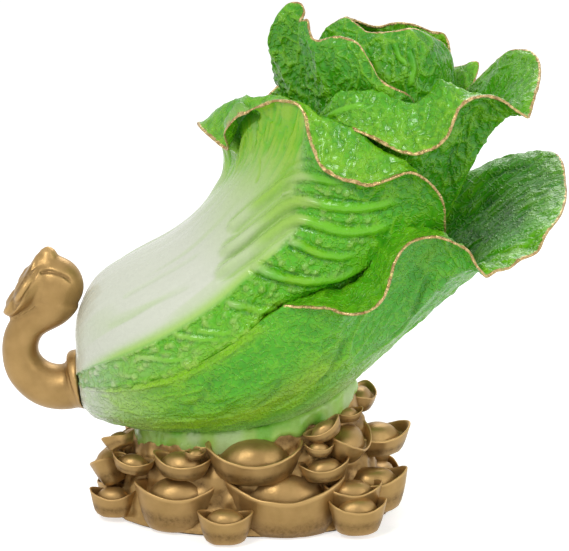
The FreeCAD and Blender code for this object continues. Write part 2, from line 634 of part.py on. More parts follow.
def disc_wire(middle, direction, radius, deep_share=1.0):
    """Round or oval wire square to a direction in the XZ plane, flattened along Y."""
    tilt = math.degrees(math.atan2(direction.x, direction.z))
    edge = Part.makeCircle(radius)
    if deep_share < 1.0:
        edge = Part.Ellipse(Vector(0, 0, 0), radius, radius * deep_share).toShape()
    wire = Part.Wire([edge])
    wire.Placement = FreeCAD.Placement(middle, FreeCAD.Rotation(Vector(0, 1, 0), tilt))
    return wire


knob_left_share = 0.09
knob_up_share = 0.31


def knob_middle():
    last = stem_point(stem_rows[-1])
    return last + Vector(-stem_diameter * knob_left_share, 0, stem_diameter * knob_up_share)


def stem_knob():
    ball = Part.makeSphere(1.0)
    stretch = FreeCAD.Matrix()
    stretch.scale(knob_radius, knob_half_width, knob_radius)
    ball = ball.transformGeometry(stretch)
    ball.translate(knob_middle())
    return ball


def hook_stem(body):
    """Bent tube from the tenon in the butt to the knob at its top."""
    wires = []
    for index, row in enumerate(stem_rows):
        before = stem_point(stem_rows[max(0, index - 1)])
        after = stem_point(stem_rows[min(len(stem_rows) - 1, index + 1)])
        wires.append(disc_wire(stem_point(row), after - before, stem_diameter * row[2] / 2))
    tube = Part.makeLoft(wires, True).cut(body)
    direction = spine_at(0)[1]
    root = Vector(butt_x, 0, stem_base_height)
    tenon = Part.makeCylinder(tenon_diameter / 2, tenon_length + tenon_overlap,
                              root - direction * tenon_overlap, direction)
    return largest_solid(tube.fuse(stem_knob()).fuse(tenon).removeSplitter())


collar_seat_share = 0.45
collar_round_share = 0.3


def hook_collar(body, stem):
    """Tilted rounded ring that covers the seam between stem and cabbage."""
    tilt = math.radians(spine_start_angle + collar_tilt)
    direction = Vector(-math.cos(tilt), 0, -math.sin(tilt))
    seat = Vector(butt_x, 0, stem_base_height + collar_lip)
    seat = seat - direction * collar_thickness * collar_seat_share
    disc = Part.makeCylinder(collar_radius, collar_thickness, seat, direction)
    rims = [edge for edge in disc.Edges if edge.Curve.TypeId == "Part::GeomCircle"]
    disc = disc.makeFillet(collar_thickness * collar_round_share, rims)
    return largest_solid(disc.cut(body).cut(stem))


def head_frame():
    """Middle of the head's face, its upward direction along the face and its outward one."""
    slant = math.radians(head_slant)
    outward = Vector(-math.cos(slant), 0, math.sin(slant))
    upward = Vector(math.sin(slant), 0, math.cos(slant))
    return knob_middle() + outward * head_offset - upward * head_drop, upward, outward


# Sections of the head: place from the knob's middle to the face, height, depth
head_section_shares = ((0.0, 0.60, 0.62), (0.45, 0.74, 0.72), (0.8, 0.92, 0.90), (1.0, 0.98, 0.97))


def hook_head(stem):
    """Block that widens from the knob to the carved face."""
    middle, upward, outward = head_frame()
    root = knob_middle()
    wires = []
    for share, tall, deep in head_section_shares:
        place = root + (middle - outward * head_wall - root) * share
        wires.append(disc_wire(place, outward, head_length * tall / 2,
                               head_width * deep / (head_length * tall)))
    return largest_solid(Part.makeLoft(wires, True).cut(stem))


# Lobes of the cloud plate and its scrolls: sideways, upward and radius as shares
# of head_length
cloud_lobe_shares = ((0.0, -0.26, 0.24), (-0.22, 0.04, 0.22), (0.22, 0.04, 0.22), (0.0, 0.27, 0.22),
                     (0.0, 0.0, 0.26))
scroll_shares = ((0.0, -0.24), (-0.21, 0.05), (0.21, 0.05))


def face_place(side_share, up_share, lift):
    """Point of the head's face from shares of its length, lifted off it."""
    middle, upward, outward = head_frame()
    return (middle + Vector(0, head_length * side_share, 0) + upward * head_length * up_share
            + outward * lift)


def face_room():
    """Room in front of the head's seat for the cloud plate, clear of the knob."""
    return Part.makeCylinder(head_length, knob_radius, face_place(0, 0, -head_wall), head_frame()[2])


def hook_cloud_plate():
    """Cloud-shaped plate of overlapping round lobes, flat on the head's face."""
    outward = head_frame()[2]
    lobes = [Part.makeCylinder(head_length * wide, head_wall, face_place(side, up, -head_wall), outward)
             for side, up, wide in cloud_lobe_shares]
    plate = lobes[0]
    for lobe in lobes[1:]:
        plate = plate.fuse(lobe)
    return largest_solid(plate.removeSplitter())


scroll_wire_share = 1.0 / 6


def hook_scroll(share, plate):
    """Raised ring of the cloud pattern, seated on the plate."""
    outward = head_frame()[2]
    wire = scroll_diameter * scroll_wire_share
    ring = Part.makeTorus(scroll_diameter / 2 - wire, wire, face_place(share[0], share[1], 0), outward)
    return largest_solid(ring.cut(plate))


crest_left_share = 0.20
crest_up_share = 0.87


def hook_crest(stem, head, plate):
    """Small pointed curl that stands at the top of the head."""
    base = knob_middle() + Vector(-knob_radius * crest_left_share, 0, knob_radius * crest_up_share)
    cone = Part.makeCone(crest_width / 2, crest_tip_width / 2, crest_height, base)
    return largest_solid(cone.cut(stem).cut(head).cut(plate))


def build():
    """Every piece of the ornament by name."""
    body = body_solid(seat_gap, nose_length * body_section_shares[-1])
    cushion = body_solid(seat_gap + saddle_thickness, nose_length * body_section_shares[-1])
    holes = Part.makeCompound([pin_at(share, pin_diameter / 2 + pin_fit) for share in pin_x_shares])
    tenon_hole = Part.makeCylinder(tenon_diameter / 2 + pin_fit, tenon_length + seat_gap,
                                   Vector(butt_x, 0, stem_base_height), spine_at(0)[1])
    parts = {"cabbage_core": largest_solid(cabbage_core().cut(holes).cut(tenon_hole))}
    for name in LEAVES:
        parts[name] = leaf_solid(name)
    parts["front_lower_leaf"] = largest_solid(parts["front_lower_leaf"].cut(holes))

    mound = mound_form()
    saddle = mound.common(cushion).cut(body)
    filler = mound.cut(cushion)
    for number, shape in enumerate(ingot_pile([mound, body]), 1):
        parts["ingot_%02d" % number] = shape
    parts["belly_saddle"] = largest_solid(saddle.cut(holes))
    parts["base_mound"] = largest_solid(filler.cut(holes))
    parts["felt_pad"] = felt_pad()
    for share, side in zip(pin_x_shares, ("left", "right")):
        parts["locating_pin_" + side] = pin_at(share, pin_diameter / 2)

    stem = largest_solid(hook_stem(body).cut(face_room()))
    head = hook_head(stem)
    plate = hook_cloud_plate()
    parts["hook_stem"] = stem
    parts["hook_collar"] = hook_collar(body, stem)
    parts["hook_head"] = head
    parts["hook_cloud_plate"] = plate
    for share, side in zip(scroll_shares, ("lower", "front", "rear")):
        parts["hook_scroll_" + side] = hook_scroll(share, plate)
    parts["hook_crest"] = hook_crest(stem, head, plate)
    return parts


def main():
    os.makedirs("parts", exist_ok=True)
    for name, shape in build().items():
        shape.exportStep(os.path.join("parts", name + ".step"))
        box = shape.BoundBox
        print("%-20s %-8s valid %s  %8.2f cm3  x %6.1f %6.1f  y %6.1f %6.1f  z %6.1f %6.1f" % (
            name, shape.ShapeType, shape.isValid(), shape.Volume / 1000,
            box.XMin, box.XMax, box.YMin, box.YMax, box.ZMin, box.ZMax))


if __name__ == "__main__":
    main()
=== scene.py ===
"""Dressed model of the resin cabbage ornament. Lengths are millimetres until a mesh is
made, which is in metres. X runs from the butt to the flared leaves, -Y faces the viewer."""
import bpy
import math
import numpy as np
from mathutils import Euler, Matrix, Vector


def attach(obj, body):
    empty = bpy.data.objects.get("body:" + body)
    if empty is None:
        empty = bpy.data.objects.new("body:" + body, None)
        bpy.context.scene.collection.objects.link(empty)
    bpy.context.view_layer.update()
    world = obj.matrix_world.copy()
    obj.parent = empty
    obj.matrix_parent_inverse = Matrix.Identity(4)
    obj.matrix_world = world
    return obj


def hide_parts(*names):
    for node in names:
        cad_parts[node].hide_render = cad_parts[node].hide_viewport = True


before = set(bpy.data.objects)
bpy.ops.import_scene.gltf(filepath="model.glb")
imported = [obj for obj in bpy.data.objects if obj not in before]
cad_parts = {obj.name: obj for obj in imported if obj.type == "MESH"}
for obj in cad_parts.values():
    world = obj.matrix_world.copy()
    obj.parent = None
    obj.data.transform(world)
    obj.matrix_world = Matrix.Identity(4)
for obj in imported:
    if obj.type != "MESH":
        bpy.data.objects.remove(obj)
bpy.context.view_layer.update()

METRES = 0.001

# The camera's view
view_target = (17.25, 0.0, 124.6)
view_distance = 1150.0
view_elevation = 16.0
pixel_size = 0.5
image_width, image_height = 569, 551
sensor_width = 36.0
view_limit = 100000.0

# The body and its leaves, as in the part's source
spine_radius = 158.0
spine_length = 245.0
spine_start_angle = 4.0
butt_x = -85.5
butt_height = 70.0
butt_radius = 14.0
body_radius = 60.0
belly_radius = 57.5
nose_power = 0.6
nose_length = 110.0
butt_lift = 36.0
leaf_thickness = 4.0
visual_rim_thickness = 1.4
seat_gap = 0.3
stump_length = 95.0
least_flare = 18.0
shoulder_length = 112.0
outer_curl_share = 0.9
heart_curl_share = 0.4
steepest_flare = 3.0
least_curl = 6.0
edge_drop = 4.4
edge_drop_start = 0.998
edge_drop_end = 1.03
tuck_start_share = 0.88
tuck_end_share = 0.95
tuck_length = 14.0
tuck_fade_start = 1.05
tuck_fade = 0.4

# The base, as in the part's source
base_half_length = 80.0
base_half_depth = 56.0
pile_height = 60.0
ingot_length = 60.0
felt_thickness = 1.2

front_upper_rim = (
    (0.00, 126, 0.66, 1.08, 50), (0.08, 112, 0.70, 1.30, 85), (0.15, 100, 0.715, 1.38, 100),
    (0.22, 88, 0.712, 1.22, 115), (0.27, 78, 0.715, 1.10, 125), (0.32, 71, 0.78, 1.22, 125),
    (0.38, 65.5, 0.847, 1.21, 115), (0.44, 60, 0.886, 1.145, 105), (0.50, 51, 0.927, 1.065, 95),
    (0.56, 40.6, 0.934, 1.01, 95), (0.61, 35, 0.913, 1.015, 95), (0.66, 30.7, 0.869, 1.045, 95),
    (0.70, 26.6, 0.839, 1.063, 100), (0.74, 21, 0.808, 1.09, 100), (0.78, 12.7, 0.797, 1.11, 100),
    (0.82, 6.4, 0.798, 1.123, 100), (0.86, -0.4, 0.80, 1.133, 95), (0.90, -7, 0.82, 1.155, 90),
    (0.935, -14.6, 0.841, 1.188, 85), (0.965, -23.8, 0.824, 1.185, 80), (0.985, -31, 0.80, 1.17, 70),
    (1.00, -38, 0.765, 1.12, 55), (1.12, -50, 0.70, 1.05, 45))
front_lower_rim = (
    (0.00, 6, 0.50, 1.0, 5), (0.03, 1, 0.515, 1.03, 40), (0.06, -2, 0.528, 1.067, 80),
    (0.08, -5, 0.541, 1.105, 90), (0.10, -8, 0.555, 1.15, 100), (0.12, -11.5, 0.563, 1.21, 105),
    (0.14, -15, 0.575, 1.26, 110), (0.16, -17.5, 0.592, 1.31, 115), (0.18, -19.2, 0.612, 1.34, 115),
    (0.195, -19.7, 0.63, 1.345, 110), (0.21, -20, 0.648, 1.313, 105), (0.225, -19.8, 0.67, 1.27, 100),
    (0.24, -20, 0.685, 1.22, 95), (0.255, -21, 0.706, 1.197, 90), (0.27, -23.5, 0.724, 1.182, 85),
    (0.285, -27, 0.736, 1.197, 85), (0.30, -31, 0.744, 1.23, 85), (0.32, -35, 0.746, 1.30, 90),
    (0.34, -37.7, 0.745, 1.39, 95), (0.36, -39.5, 0.742, 1.44, 100), (0.38, -41.5, 0.729, 1.505, 105),
    (0.395, -43.5, 0.722, 1.55, 105), (0.41, -45.5, 0.718, 1.57, 105), (0.43, -49, 0.727, 1.572, 100),
    (0.46, -54, 0.733, 1.592, 95), (0.49, -58.7, 0.745, 1.603, 90), (0.52, -64, 0.757, 1.66, 85),
    (0.56, -70, 0.778, 1.647, 80), (0.60, -77.5, 0.793, 1.678, 80), (0.65, -88, 0.809, 1.705, 80),
    (0.70, -97, 0.822, 1.723, 80), (0.75, -105.5, 0.836, 1.757, 75), (0.79, -111, 0.84, 1.773, 80),
    (0.83, -116, 0.836, 1.74, 85), (0.88, -124, 0.815, 1.60, 85), (0.92, -132, 0.78, 1.45, 80),
    (0.96, -142, 0.70, 1.25, 60), (1.00, -156, 0.60, 1.06, 20))
back_rim = (
    (0.00, 203, 0.64, 1.08, 30), (0.10, 196, 0.71, 1.24, 70), (0.22, 187, 0.75, 1.36, 95),
    (0.34, 178, 0.74, 1.42, 105), (0.46, 168, 0.70, 1.36, 100), (0.58, 158, 0.70, 1.30, 90),
    (0.70, 148, 0.72, 1.30, 95), (0.82, 138, 0.70, 1.24, 90), (0.92, 133, 0.66, 1.12, 60),
    (1.00, 128, 0.62, 1.02, 25))
second_front_rim = (
    (0.00, 38, 0.87, 0.835, 30), (0.06, 27, 0.897, 0.883, 70), (0.13, 16, 0.894, 0.915, 90),
    (0.20, 5.5, 0.889, 0.967, 100), (0.26, -2.5, 0.879, 1.012, 105), (0.31, -10, 0.871, 1.08, 110),
    (0.35, -15.6, 0.872, 1.142, 110), (0.38, -18.5, 0.88, 1.185, 110), (0.41, -21.8, 0.892, 1.238, 110),
    (0.44, -24.5, 0.912, 1.282, 110), (0.47, -26.6, 0.938, 1.287, 105), (0.50, -29.2, 0.955, 1.26, 100),
    (0.53, -34, 0.964, 1.245, 95), (0.56, -40, 0.966, 1.26, 95), (0.59, -44, 0.962, 1.30, 100),
    (0.62, -47.6, 0.953, 1.335, 105), (0.65, -51, 0.942, 1.383, 105), (0.68, -54.5, 0.933, 1.425, 105),
    (0.71, -57.5, 0.936, 1.412, 95), (0.75, -64, 0.955, 1.38, 85), (0.80, -75.5, 0.974, 1.348, 75),
    (0.84, -84, 0.987, 1.318, 70), (0.87, -91.5, 0.994, 1.257, 70), (0.90, -98.5, 0.992, 1.16, 65),
    (0.93, -104, 0.982, 1.107, 60), (0.96, -112, 0.96, 1.05, 50), (1.00, -123, 0.92, 0.96, 30))
second_back_rim = (
    (0.00, 236, 0.89, 0.95, 30), (0.07, 229, 0.95, 1.20, 70), (0.14, 223, 0.945, 1.12, 75),
    (0.25, 208, 0.93, 1.15, 80), (0.38, 192, 0.94, 1.28, 95), (0.50, 175, 0.92, 1.20, 90),
    (0.62, 158, 0.93, 1.07, 85), (0.74, 140, 0.92, 1.00, 85), (0.86, 120, 0.88, 0.94, 60),
    (1.00, 98, 0.84, 0.95, 20))
heart_front_rim = (
    (0.00, 128, 0.90, 0.80, -10), (0.08, 114, 0.935, 0.888, 0), (0.16, 99, 1.038, 0.858, -10),
    (0.22, 94.5, 1.072, 0.845, -20), (0.27, 92.5, 1.12, 0.757, -40), (0.31, 89, 1.15, 0.65, -50),
    (0.35, 84, 1.15, 0.55, -55), (0.38, 78.5, 1.13, 0.53, -45), (0.41, 70.8, 1.11, 0.607, -30),
    (0.44, 61, 1.115, 0.583, -30), (0.47, 54, 1.093, 0.625, -30), (0.50, 46.8, 1.072, 0.657, -30),
    (0.56, 29.5, 1.077, 0.65, -35), (0.62, 19.7, 1.074, 0.673, -35), (0.67, 12.7, 1.065, 0.70, -30),
    (0.71, 8.4, 1.05, 0.742, -25), (0.75, 5.3, 1.03, 0.77, -20), (0.79, 2.2, 1.01, 0.80, -15),
    (0.83, -0.8, 0.991, 0.80, -10), (0.87, -6, 0.978, 0.807, -10), (0.91, -12.6, 0.968, 0.80, -10),
    (0.95, -18.4, 0.957, 0.77, -15), (1.00, -25, 0.935, 0.743, -15))
heart_right_rim = (
    (0.00, 72, 1.03, 0.50, -40), (0.10, 60, 1.076, 0.463, -50), (0.19, 52, 1.094, 0.38, -60),
    (0.28, 37, 1.10, 0.333, -65), (0.36, 21, 1.083, 0.322, -65), (0.43, 9, 1.067, 0.338, -60),
    (0.50, -8.4, 1.063, 0.37, -60), (0.58, -25, 1.062, 0.407, -60), (0.66, -41.5, 1.061, 0.445, -55),
    (0.72, -54.5, 1.052, 0.458, -50), (0.79, -74, 1.034, 0.488, -45), (0.88, -96, 1.01, 0.583, -30),
    (0.94, -110, 0.979, 0.678, -20), (1.00, -118, 0.93, 0.70, -10))
heart_back_rim = (
    (0.00, 240, 0.95, 0.76, -10), (0.08, 231, 1.007, 0.80, 0), (0.15, 224, 1.02, 0.70, -20),
    (0.22, 217, 1.037, 0.567, -30), (0.30, 208, 1.047, 0.42, -40), (0.40, 192, 1.05, 0.25, -60),
    (0.55, 155, 1.066, 0.18, -70), (0.70, 125, 1.08, 0.20, -70), (0.82, 105, 1.085, 0.235, -60),
    (1.00, 82, 1.05, 0.42, -45))

# How far the inner face swells behind the rim: place across, height, depth in mm
front_upper_bands = (
    (0.00, 0, 0), (0.05, 0, 0), (0.10, 5, 0), (0.15, 12, -1), (0.20, 21, -2), (0.25, 27, -2),
    (0.30, 22.5, -2), (0.35, 15, -2), (0.40, 9.5, -2), (0.45, 7.5, -1), (0.50, 5, 0), (0.55, 2, 0),
    (0.60, 5, 1), (0.65, 11, 2), (0.70, 18, 3), (0.75, 25, 4), (0.80, 25, 4), (0.85, 22, 3.5),
    (0.90, 14.5, 3), (0.95, 5, 1), (1.00, 0, 0),
    (1.12, 0, 0))
front_lower_bands = (
    (0.00, 0, 7), (0.05, 1, 13), (0.10, 2, 20), (0.16, 2, 23), (0.21, 2, 22), (0.26, 2, 16), (0.32, 1, 6),
    (0.38, 0, 0), (1.00, 0, 0))
second_front_bands = (
    (0.00, 12, 1.4), (0.10, 20, 2.2), (0.45, 20, 2.2), (0.51, 10, 1.1), (0.57, 0, 0), (1.00, 0, 0))

# Each leaf: edges, layers, whether it roots at the butt, swells, rim
LEAVES = {
    "front_upper_leaf": ((116.0, 8.5), 0, True, (0.0, 0.0), front_upper_rim),
    "front_lower_leaf": ((8.0, -160.0), 0, True, (0.0, 0.0), front_lower_rim),
    "back_leaf": ((199.5, 116.5), 0, True, (0.0, 0.0), back_rim),
    "second_front_leaf": ((40.0, -123.5), 2.6, False, (-0.02, 0.0), second_front_rim),
    "second_back_leaf": ((236.0, 80.0), 2.5, False, (0.0, 0.0), second_back_rim),
    "heart_front_leaf": ((125.0, -30.0), 3.8, False, (-0.21, -0.09), heart_front_rim),
    "heart_right_leaf": ((70.0, -114.5), 5.5, False, (-0.06, 0.05), heart_right_rim),
    "heart_back_leaf": ((245.0, 76.0), 5.5, False, (0.03, 0.02), heart_back_rim),
}

# Rows of each leaf's bands, and how close behind the rim they stand
BANDS = {
    "front_upper_leaf": (front_upper_bands, 3.5),
    "front_lower_leaf": (front_lower_bands, 7.0),
    "second_front_leaf": (second_front_bands, 4.0),
}

# How far across each leaf goes; the front upper leaf goes on under its neighbour
WIDTHS = {"front_upper_leaf": 1.12}

INGOTS = (
    (-0.87, -0.30, 0.25, 0.40, -5, 0, 0), (-0.45, -0.50, 0.37, 0.73, 3, 0, 0),
    (-0.15, -0.86, 0.25, 0.46, -4, 0, 0), (-0.73, -0.42, 0.59, 0.37, -10, 0, 8),
    (-0.91, -0.12, 0.52, 0.46, 75, -20, 0), (-0.83, -0.30, 0.75, 0.31, 40, -35, 0),
    (-0.42, -0.56, 0.64, 0.50, -8, 0, 4), (-0.335, -0.63, 0.73, 0.20, 30, 0, 0),
    (0.03, -0.55, 0.71, 0.82, 4, 4, 0), (0.21, -0.50, 0.39, 1.03, 0, 0, 0),
    (0.46, -0.60, 0.61, 0.43, 8, 0, -6), (0.43, -0.60, 0.77, 0.25, 0, 0, 0),
    (0.45, -0.55, 0.92, 0.34, 10, 0, -28), (0.62, -0.32, 0.77, 0.62, 72, 18, 0),
    (0.80, 0.02, 0.69, 0.62, 20, 0, 0), (0.77, -0.32, 0.41, 0.60, 0, 0, -4),
    (0.67, -0.68, 0.28, 0.49, 8, 0, 0), (0.64, -0.55, 0.39, 0.50, 5, 0, 0),
    (0.61, -0.22, 0.95, 0.28, 20, 0, 0), (-0.78, 0.28, 0.32, 0.52, 30, 0, 0),
    (-0.46, 0.52, 0.37, 0.74, -8, 0, 0), (-0.68, 0.40, 0.60, 0.40, 18, 0, 6),
    (-0.18, 0.86, 0.25, 0.48, 5, 0, 0), (-0.28, 0.56, 0.65, 0.56, 10, 0, 0),
    (0.12, 0.52, 0.42, 0.95, -5, 0, 0), (0.16, 0.56, 0.72, 0.60, 2, 0, 0),
    (0.42, 0.80, 0.27, 0.46, -10, 0, 0), (0.48, 0.58, 0.64, 0.50, -15, 0, -6),
    (0.70, 0.46, 0.40, 0.60, -25, 0, 0), (0.58, 0.50, 0.86, 0.36, -20, 0, -12),
    (0.84, 0.16, 0.30, 0.50, 80, 0, 0), (0.70, 0.20, 0.98, 0.44, 75, 0, 0),
    (-0.88, 0.06, 0.26, 0.46, 85, 0, 0), (-0.76, 0.12, 0.62, 0.44, 70, 0, 0))

# Grid of each leaf: columns, rows on the body, rows on the flare, rows inside
GRIDS = {
    "front_upper_leaf": (272, 116, 160, 75),
    "front_lower_leaf": (400, 46, 98, 92),
    "back_leaf": (200, 90, 120, 70),
    "second_front_leaf": (320, 16, 160, 120),
    "second_back_leaf": (260, 16, 150, 90),
    "heart_front_leaf": (270, 16, 200, 90),
    "heart_right_leaf": (230, 16, 190, 90),
    "heart_back_leaf": (240, 20, 160, 70),
}

# Veins seen from the front, by pixel: face, height, half width, then points
VEINS = {
    "front_upper_leaf": (
        ("outer", 2.3, 2.0, (226, 234), (240, 222), (256, 207), (275, 190), (292, 178), (310, 177),
         (330, 181), (350, 184)),
        ("outer", 0.9, 1.2, (280, 196), (292, 193), (308, 199), (326, 204)),
        ("outer", 2.7, 2.3, (216, 258), (232, 248), (248, 236), (265, 222), (284, 206), (298, 201),
         (316, 203), (336, 207), (360, 208), (384, 204), (408, 196)),
        ("outer", 2.7, 2.3, (212, 280), (230, 267), (248, 254), (268, 237), (288, 222), (304, 220),
         (320, 225), (338, 231), (358, 232), (380, 228), (402, 218)),
        ("outer", 2.0, 1.8, (288, 240), (302, 246), (320, 254), (340, 257), (358, 254)),
        ("outer", 2.3, 2.0, (250, 262), (262, 270), (280, 277), (300, 281), (322, 281),
         (346, 276), (368, 264)),
        ("outer", 1.3, 1.6, (226, 302), (240, 306), (256, 310), (274, 310), (290, 306)),
        ("outer", -0.6, 0.8, (256, 184), (260, 170), (260, 156)),
        ("outer", -0.6, 0.8, (280, 176), (288, 166), (300, 160), (316, 159)),
        ("outer", 0.8, 1.2, (172, 334), (197, 339), (215, 339), (228, 335)),
        ("outer", 0.8, 1.2, (137, 357), (157, 359), (172, 361), (186, 359)),
        ("outer", 0.7, 1.1, (197, 330), (215, 333), (234, 333)),
        ("outer", -0.50, 1.1, (108, 328), (130, 318), (150, 306), (172, 296), (196, 284)),
        ("outer", -0.45, 1.1, (122, 300), (150, 284), (180, 268), (206, 252)),
    ),
    "front_lower_leaf": (
        ("outer", -0.8, 1.3, (188, 410), (201, 399), (210, 385), (215, 366)),
        ("outer", -0.8, 1.3, (252, 408), (266, 401), (277, 388), (283, 374)),
        ("outer", -1.1, 1.5, (312, 388), (325, 377), (334, 365), (343, 345), (350, 335)),
        ("outer", -1.5, 1.4, (390, 340), (410, 320), (420, 296), (430, 276)),
        ("inner", -1.0, 1.1, (490, 174), (510, 170), (536, 164)),
        ("inner", -1.1, 1.2, (476, 200), (494, 202), (508, 210), (516, 224), (522, 236)),
        ("inner", -0.9, 1.0, (466, 230), (482, 238), (490, 246)),
    ),
    "second_front_leaf": (
        ("outer", -1.2, 1.2, (458, 142), (450, 160), (451, 180), (457, 200), (458, 210)),
        ("inner", 0.9, 1.3, (326, 117), (341, 110), (355, 106), (366, 106)),
    ),
    "hook": (
        ("outer", -0.9, 1.0, (39, 273), (48, 271), (58, 274), (67, 278), (73, 284)),
        ("outer", 0.7, 1.1, (14, 304), (24, 289), (32, 277), (38, 266)),
        ("outer", -0.6, 0.8, (10, 302), (19, 287), (27, 274), (33, 262)),
    ),
    "heart_right_leaf": (
        ("outer", 1.0, 1.4, (408, 49), (414, 67), (409, 89)),
        ("outer", 0.8, 1.2, (395, 43), (399, 57), (408, 64)),
    ),
}

# Patches of round bumps on the front upper leaf, by pixel: half width, then points
BUMP_PATCHES = (
    (2.6, (298, 189), (322, 191), (350, 193)),
    (3.6, (300, 211), (330, 216), (366, 219)),
    (3.4, (300, 237), (330, 242), (362, 243)),
    (4.4, (262, 258), (285, 263), (312, 269), (338, 270)),
    (4.4, (232, 284), (262, 289), (292, 294)),
    (4.4, (178, 322), (202, 318), (232, 318)),
    (4.4, (130, 345), (152, 345), (176, 346)),
)


def smooth(share):
    """Ease from 0 to 1 with a level start and end."""
    share = np.clip(share, 0.0, 1.0)
    return share * share * (3.0 - 2.0 * share)


def ease(value, start, width):
    """Ease from 0 at the start to 1 over the width."""
    return smooth((value - start) / width)


def fade(value, start, width):
    return 1.0 - ease(value, start, width)


def hump(value, centre, width, power=2):
    """Rounded hump of 1 at the centre."""
    return np.exp(-((value - centre) / width) ** power)


def mix(first, second, share):
    return first + (second - first) * share


def spine_at(length):
    """Point of the spine and its direction, at lengths from the butt."""
    start = math.radians(spine_start_angle)
    angle = start + np.asarray(length) / spine_radius
    x = butt_x + spine_radius * (np.sin(angle) - math.sin(start))
    z = butt_height - spine_radius * (np.cos(angle) - math.cos(start))
    level = np.zeros_like(x)
    return np.stack((x, level, z), -1), np.stack((np.cos(angle), level, np.sin(angle)), -1)


def around(length, toward, up_left):
    """Points beside the spine, from their offsets toward the viewer and to the upper left."""
    point, direction = spine_at(length)
    place = point.copy()
    place[..., 0] -= direction[..., 2] * up_left
    place[..., 1] -= toward
    place[..., 2] += direction[..., 0] * up_left
    return place


def section(length):
    rest = 1.0 - np.clip(length / nose_length, 0.0, 1.0)
    blunt = (1.0 - rest * rest) ** nose_power
    return butt_radius + (belly_radius - butt_radius) * blunt, butt_lift * blunt * rest * rest


def body_reach(length, angle, inset):
    """Distance from the spine to the body's surface, drawn in by the inset."""
    radius, lift = section(length)
    side = lift * np.cos(angle)
    return lift * np.sin(angle) + np.sqrt((radius - inset) ** 2 - side * side)


def blend(start, start_slope, end, end_slope, step):
    """Cubic between two values with the given slopes."""
    square = step * step
    cube = square * step
    return (start * (2 * cube - 3 * square + 1) + start_slope * (cube - 2 * square + step)
            + end * (3 * square - 2 * cube) + end_slope * (cube - square))


def through_rows(rows, column, place):
    """Smooth curve through one column of a rim table."""
    table = np.array(rows, float)
    last = len(rows) - 1
    index = np.clip(np.searchsorted(table[:, 0], place, side="left") - 1, 0, last - 1)
    before, after = np.maximum(index - 1, 0), np.minimum(index + 2, last)
    at, value = table[:, 0], table[:, column]
    span = at[index + 1] - at[index]
    slope_in = (value[index + 1] - value[before]) / (at[index + 1] - at[before]) * span
    slope_out = (value[after] - value[index]) / (at[after] - at[index]) * span
    return blend(value[index], slope_in, value[index + 1], slope_out, (place - at[index]) / span)


def leaf_places(name, across, rise):
    """Smooth outer face of a leaf, as length along the spine and offsets beside it."""
    edges, layer, at_butt, swells, rim = LEAVES[name]
    angle = np.radians(edges[0] + (edges[1] - edges[0]) * across)
    start = 0.0 if at_butt else stump_length + seat_gap
    rim_angle = np.radians(through_rows(rim, 1, across))
    rim_length = spine_length * through_rows(rim, 2, across)
    rim_reach = body_radius * through_rows(rim, 3, across)
    roll = np.radians(through_rows(rim, 4, across))
    shoulder = np.minimum(np.maximum(shoulder_length, start + least_flare), rim_length - least_flare)
    upper = name == "front_upper_leaf"
    tucked = upper * ease(across, tuck_start_share, tuck_end_share - tuck_start_share)
    tucked = tucked * fade(rise, tuck_fade_start, tuck_fade)
    edge = upper * edge_drop * ease(across, edge_drop_start, edge_drop_end - edge_drop_start)

    def inset_at(length):
        drop = tucked * smooth((length - stump_length) / tuck_length)
        return (layer + drop) * (leaf_thickness + seat_gap) + edge

    low = np.minimum(rise, 1.0)
    body_length = start + (shoulder - start) * low
    body = body_reach(body_length, angle, inset_at(body_length))
    step = np.maximum(rise - 1.0, 0.0)
    reach = body_reach(shoulder, angle, inset_at(shoulder + tuck_length))
    reach_now = body_reach(shoulder, angle, inset_at(shoulder))
    chord = np.hypot(rim_length - shoulder, rim_reach - reach)
    curl = chord * np.where(roll > 0, outer_curl_share, heart_curl_share)
    most_out = steepest_flare * np.maximum(0.0, rim_reach - reach) + least_curl
    exit_along, exit_out = curl * np.cos(roll), np.minimum(most_out, curl * np.sin(roll))
    swell = body_radius * mix(swells[0], swells[1], across) * np.sin(math.pi * step) ** 2
    length = blend(shoulder, chord, rim_length, exit_along, step)
    on_body, on_flare = [body_length], [length]
    for turn in (np.cos, np.sin):
        side = blend(reach_now * turn(angle), (reach - reach_now) * turn(angle),
                     rim_reach * turn(rim_angle), exit_out * turn(rim_angle), step)
        on_body.append(body * turn(angle))
        on_flare.append(side + swell * turn(angle))
    return [np.where(rise <= 1.0, below, above) for below, above in zip(on_body, on_flare)]


def band_push(name, across, rise):
    """How far the inner face is moved up and inward to make the bands behind the rim."""
    if name not in BANDS:
        return 0.0
    rows, lateness = BANDS[name]
    rim = LEAVES[name][4]
    rim_angle = np.radians(through_rows(rim, 1, across))
    rim_length = spine_length * through_rows(rim, 2, across)
    middle, direction = spine_at(rim_length)
    outward = around(rim_length, np.cos(rim_angle), np.sin(rim_angle)) - middle
    late = np.sin(math.pi * np.clip(rise - 1.0, 0.0, 1.0) ** lateness) ** 2
    height, depth = through_rows(rows, 1, across) * late, through_rows(rows, 2, across) * late
    return direction * height[..., None] - outward * depth[..., None]


def unit(vectors):
    return vectors / np.maximum(np.linalg.norm(vectors, axis=-1, keepdims=True), 1e-9)


def grid_normals(points):
    """Unit normals of a grid of rows by columns, away from the spine."""
    along, over = np.gradient(points, axis=0), np.gradient(points, axis=1)
    return unit(np.cross(over, along))


def run_to_end(points):
    """Length left along each column of a grid to its last row."""
    steps = np.linalg.norm(np.diff(points, axis=0), axis=-1)
    done = np.vstack((np.zeros((1, points.shape[1])), np.cumsum(steps, axis=0)))
    return done[-1] - done


# Noise

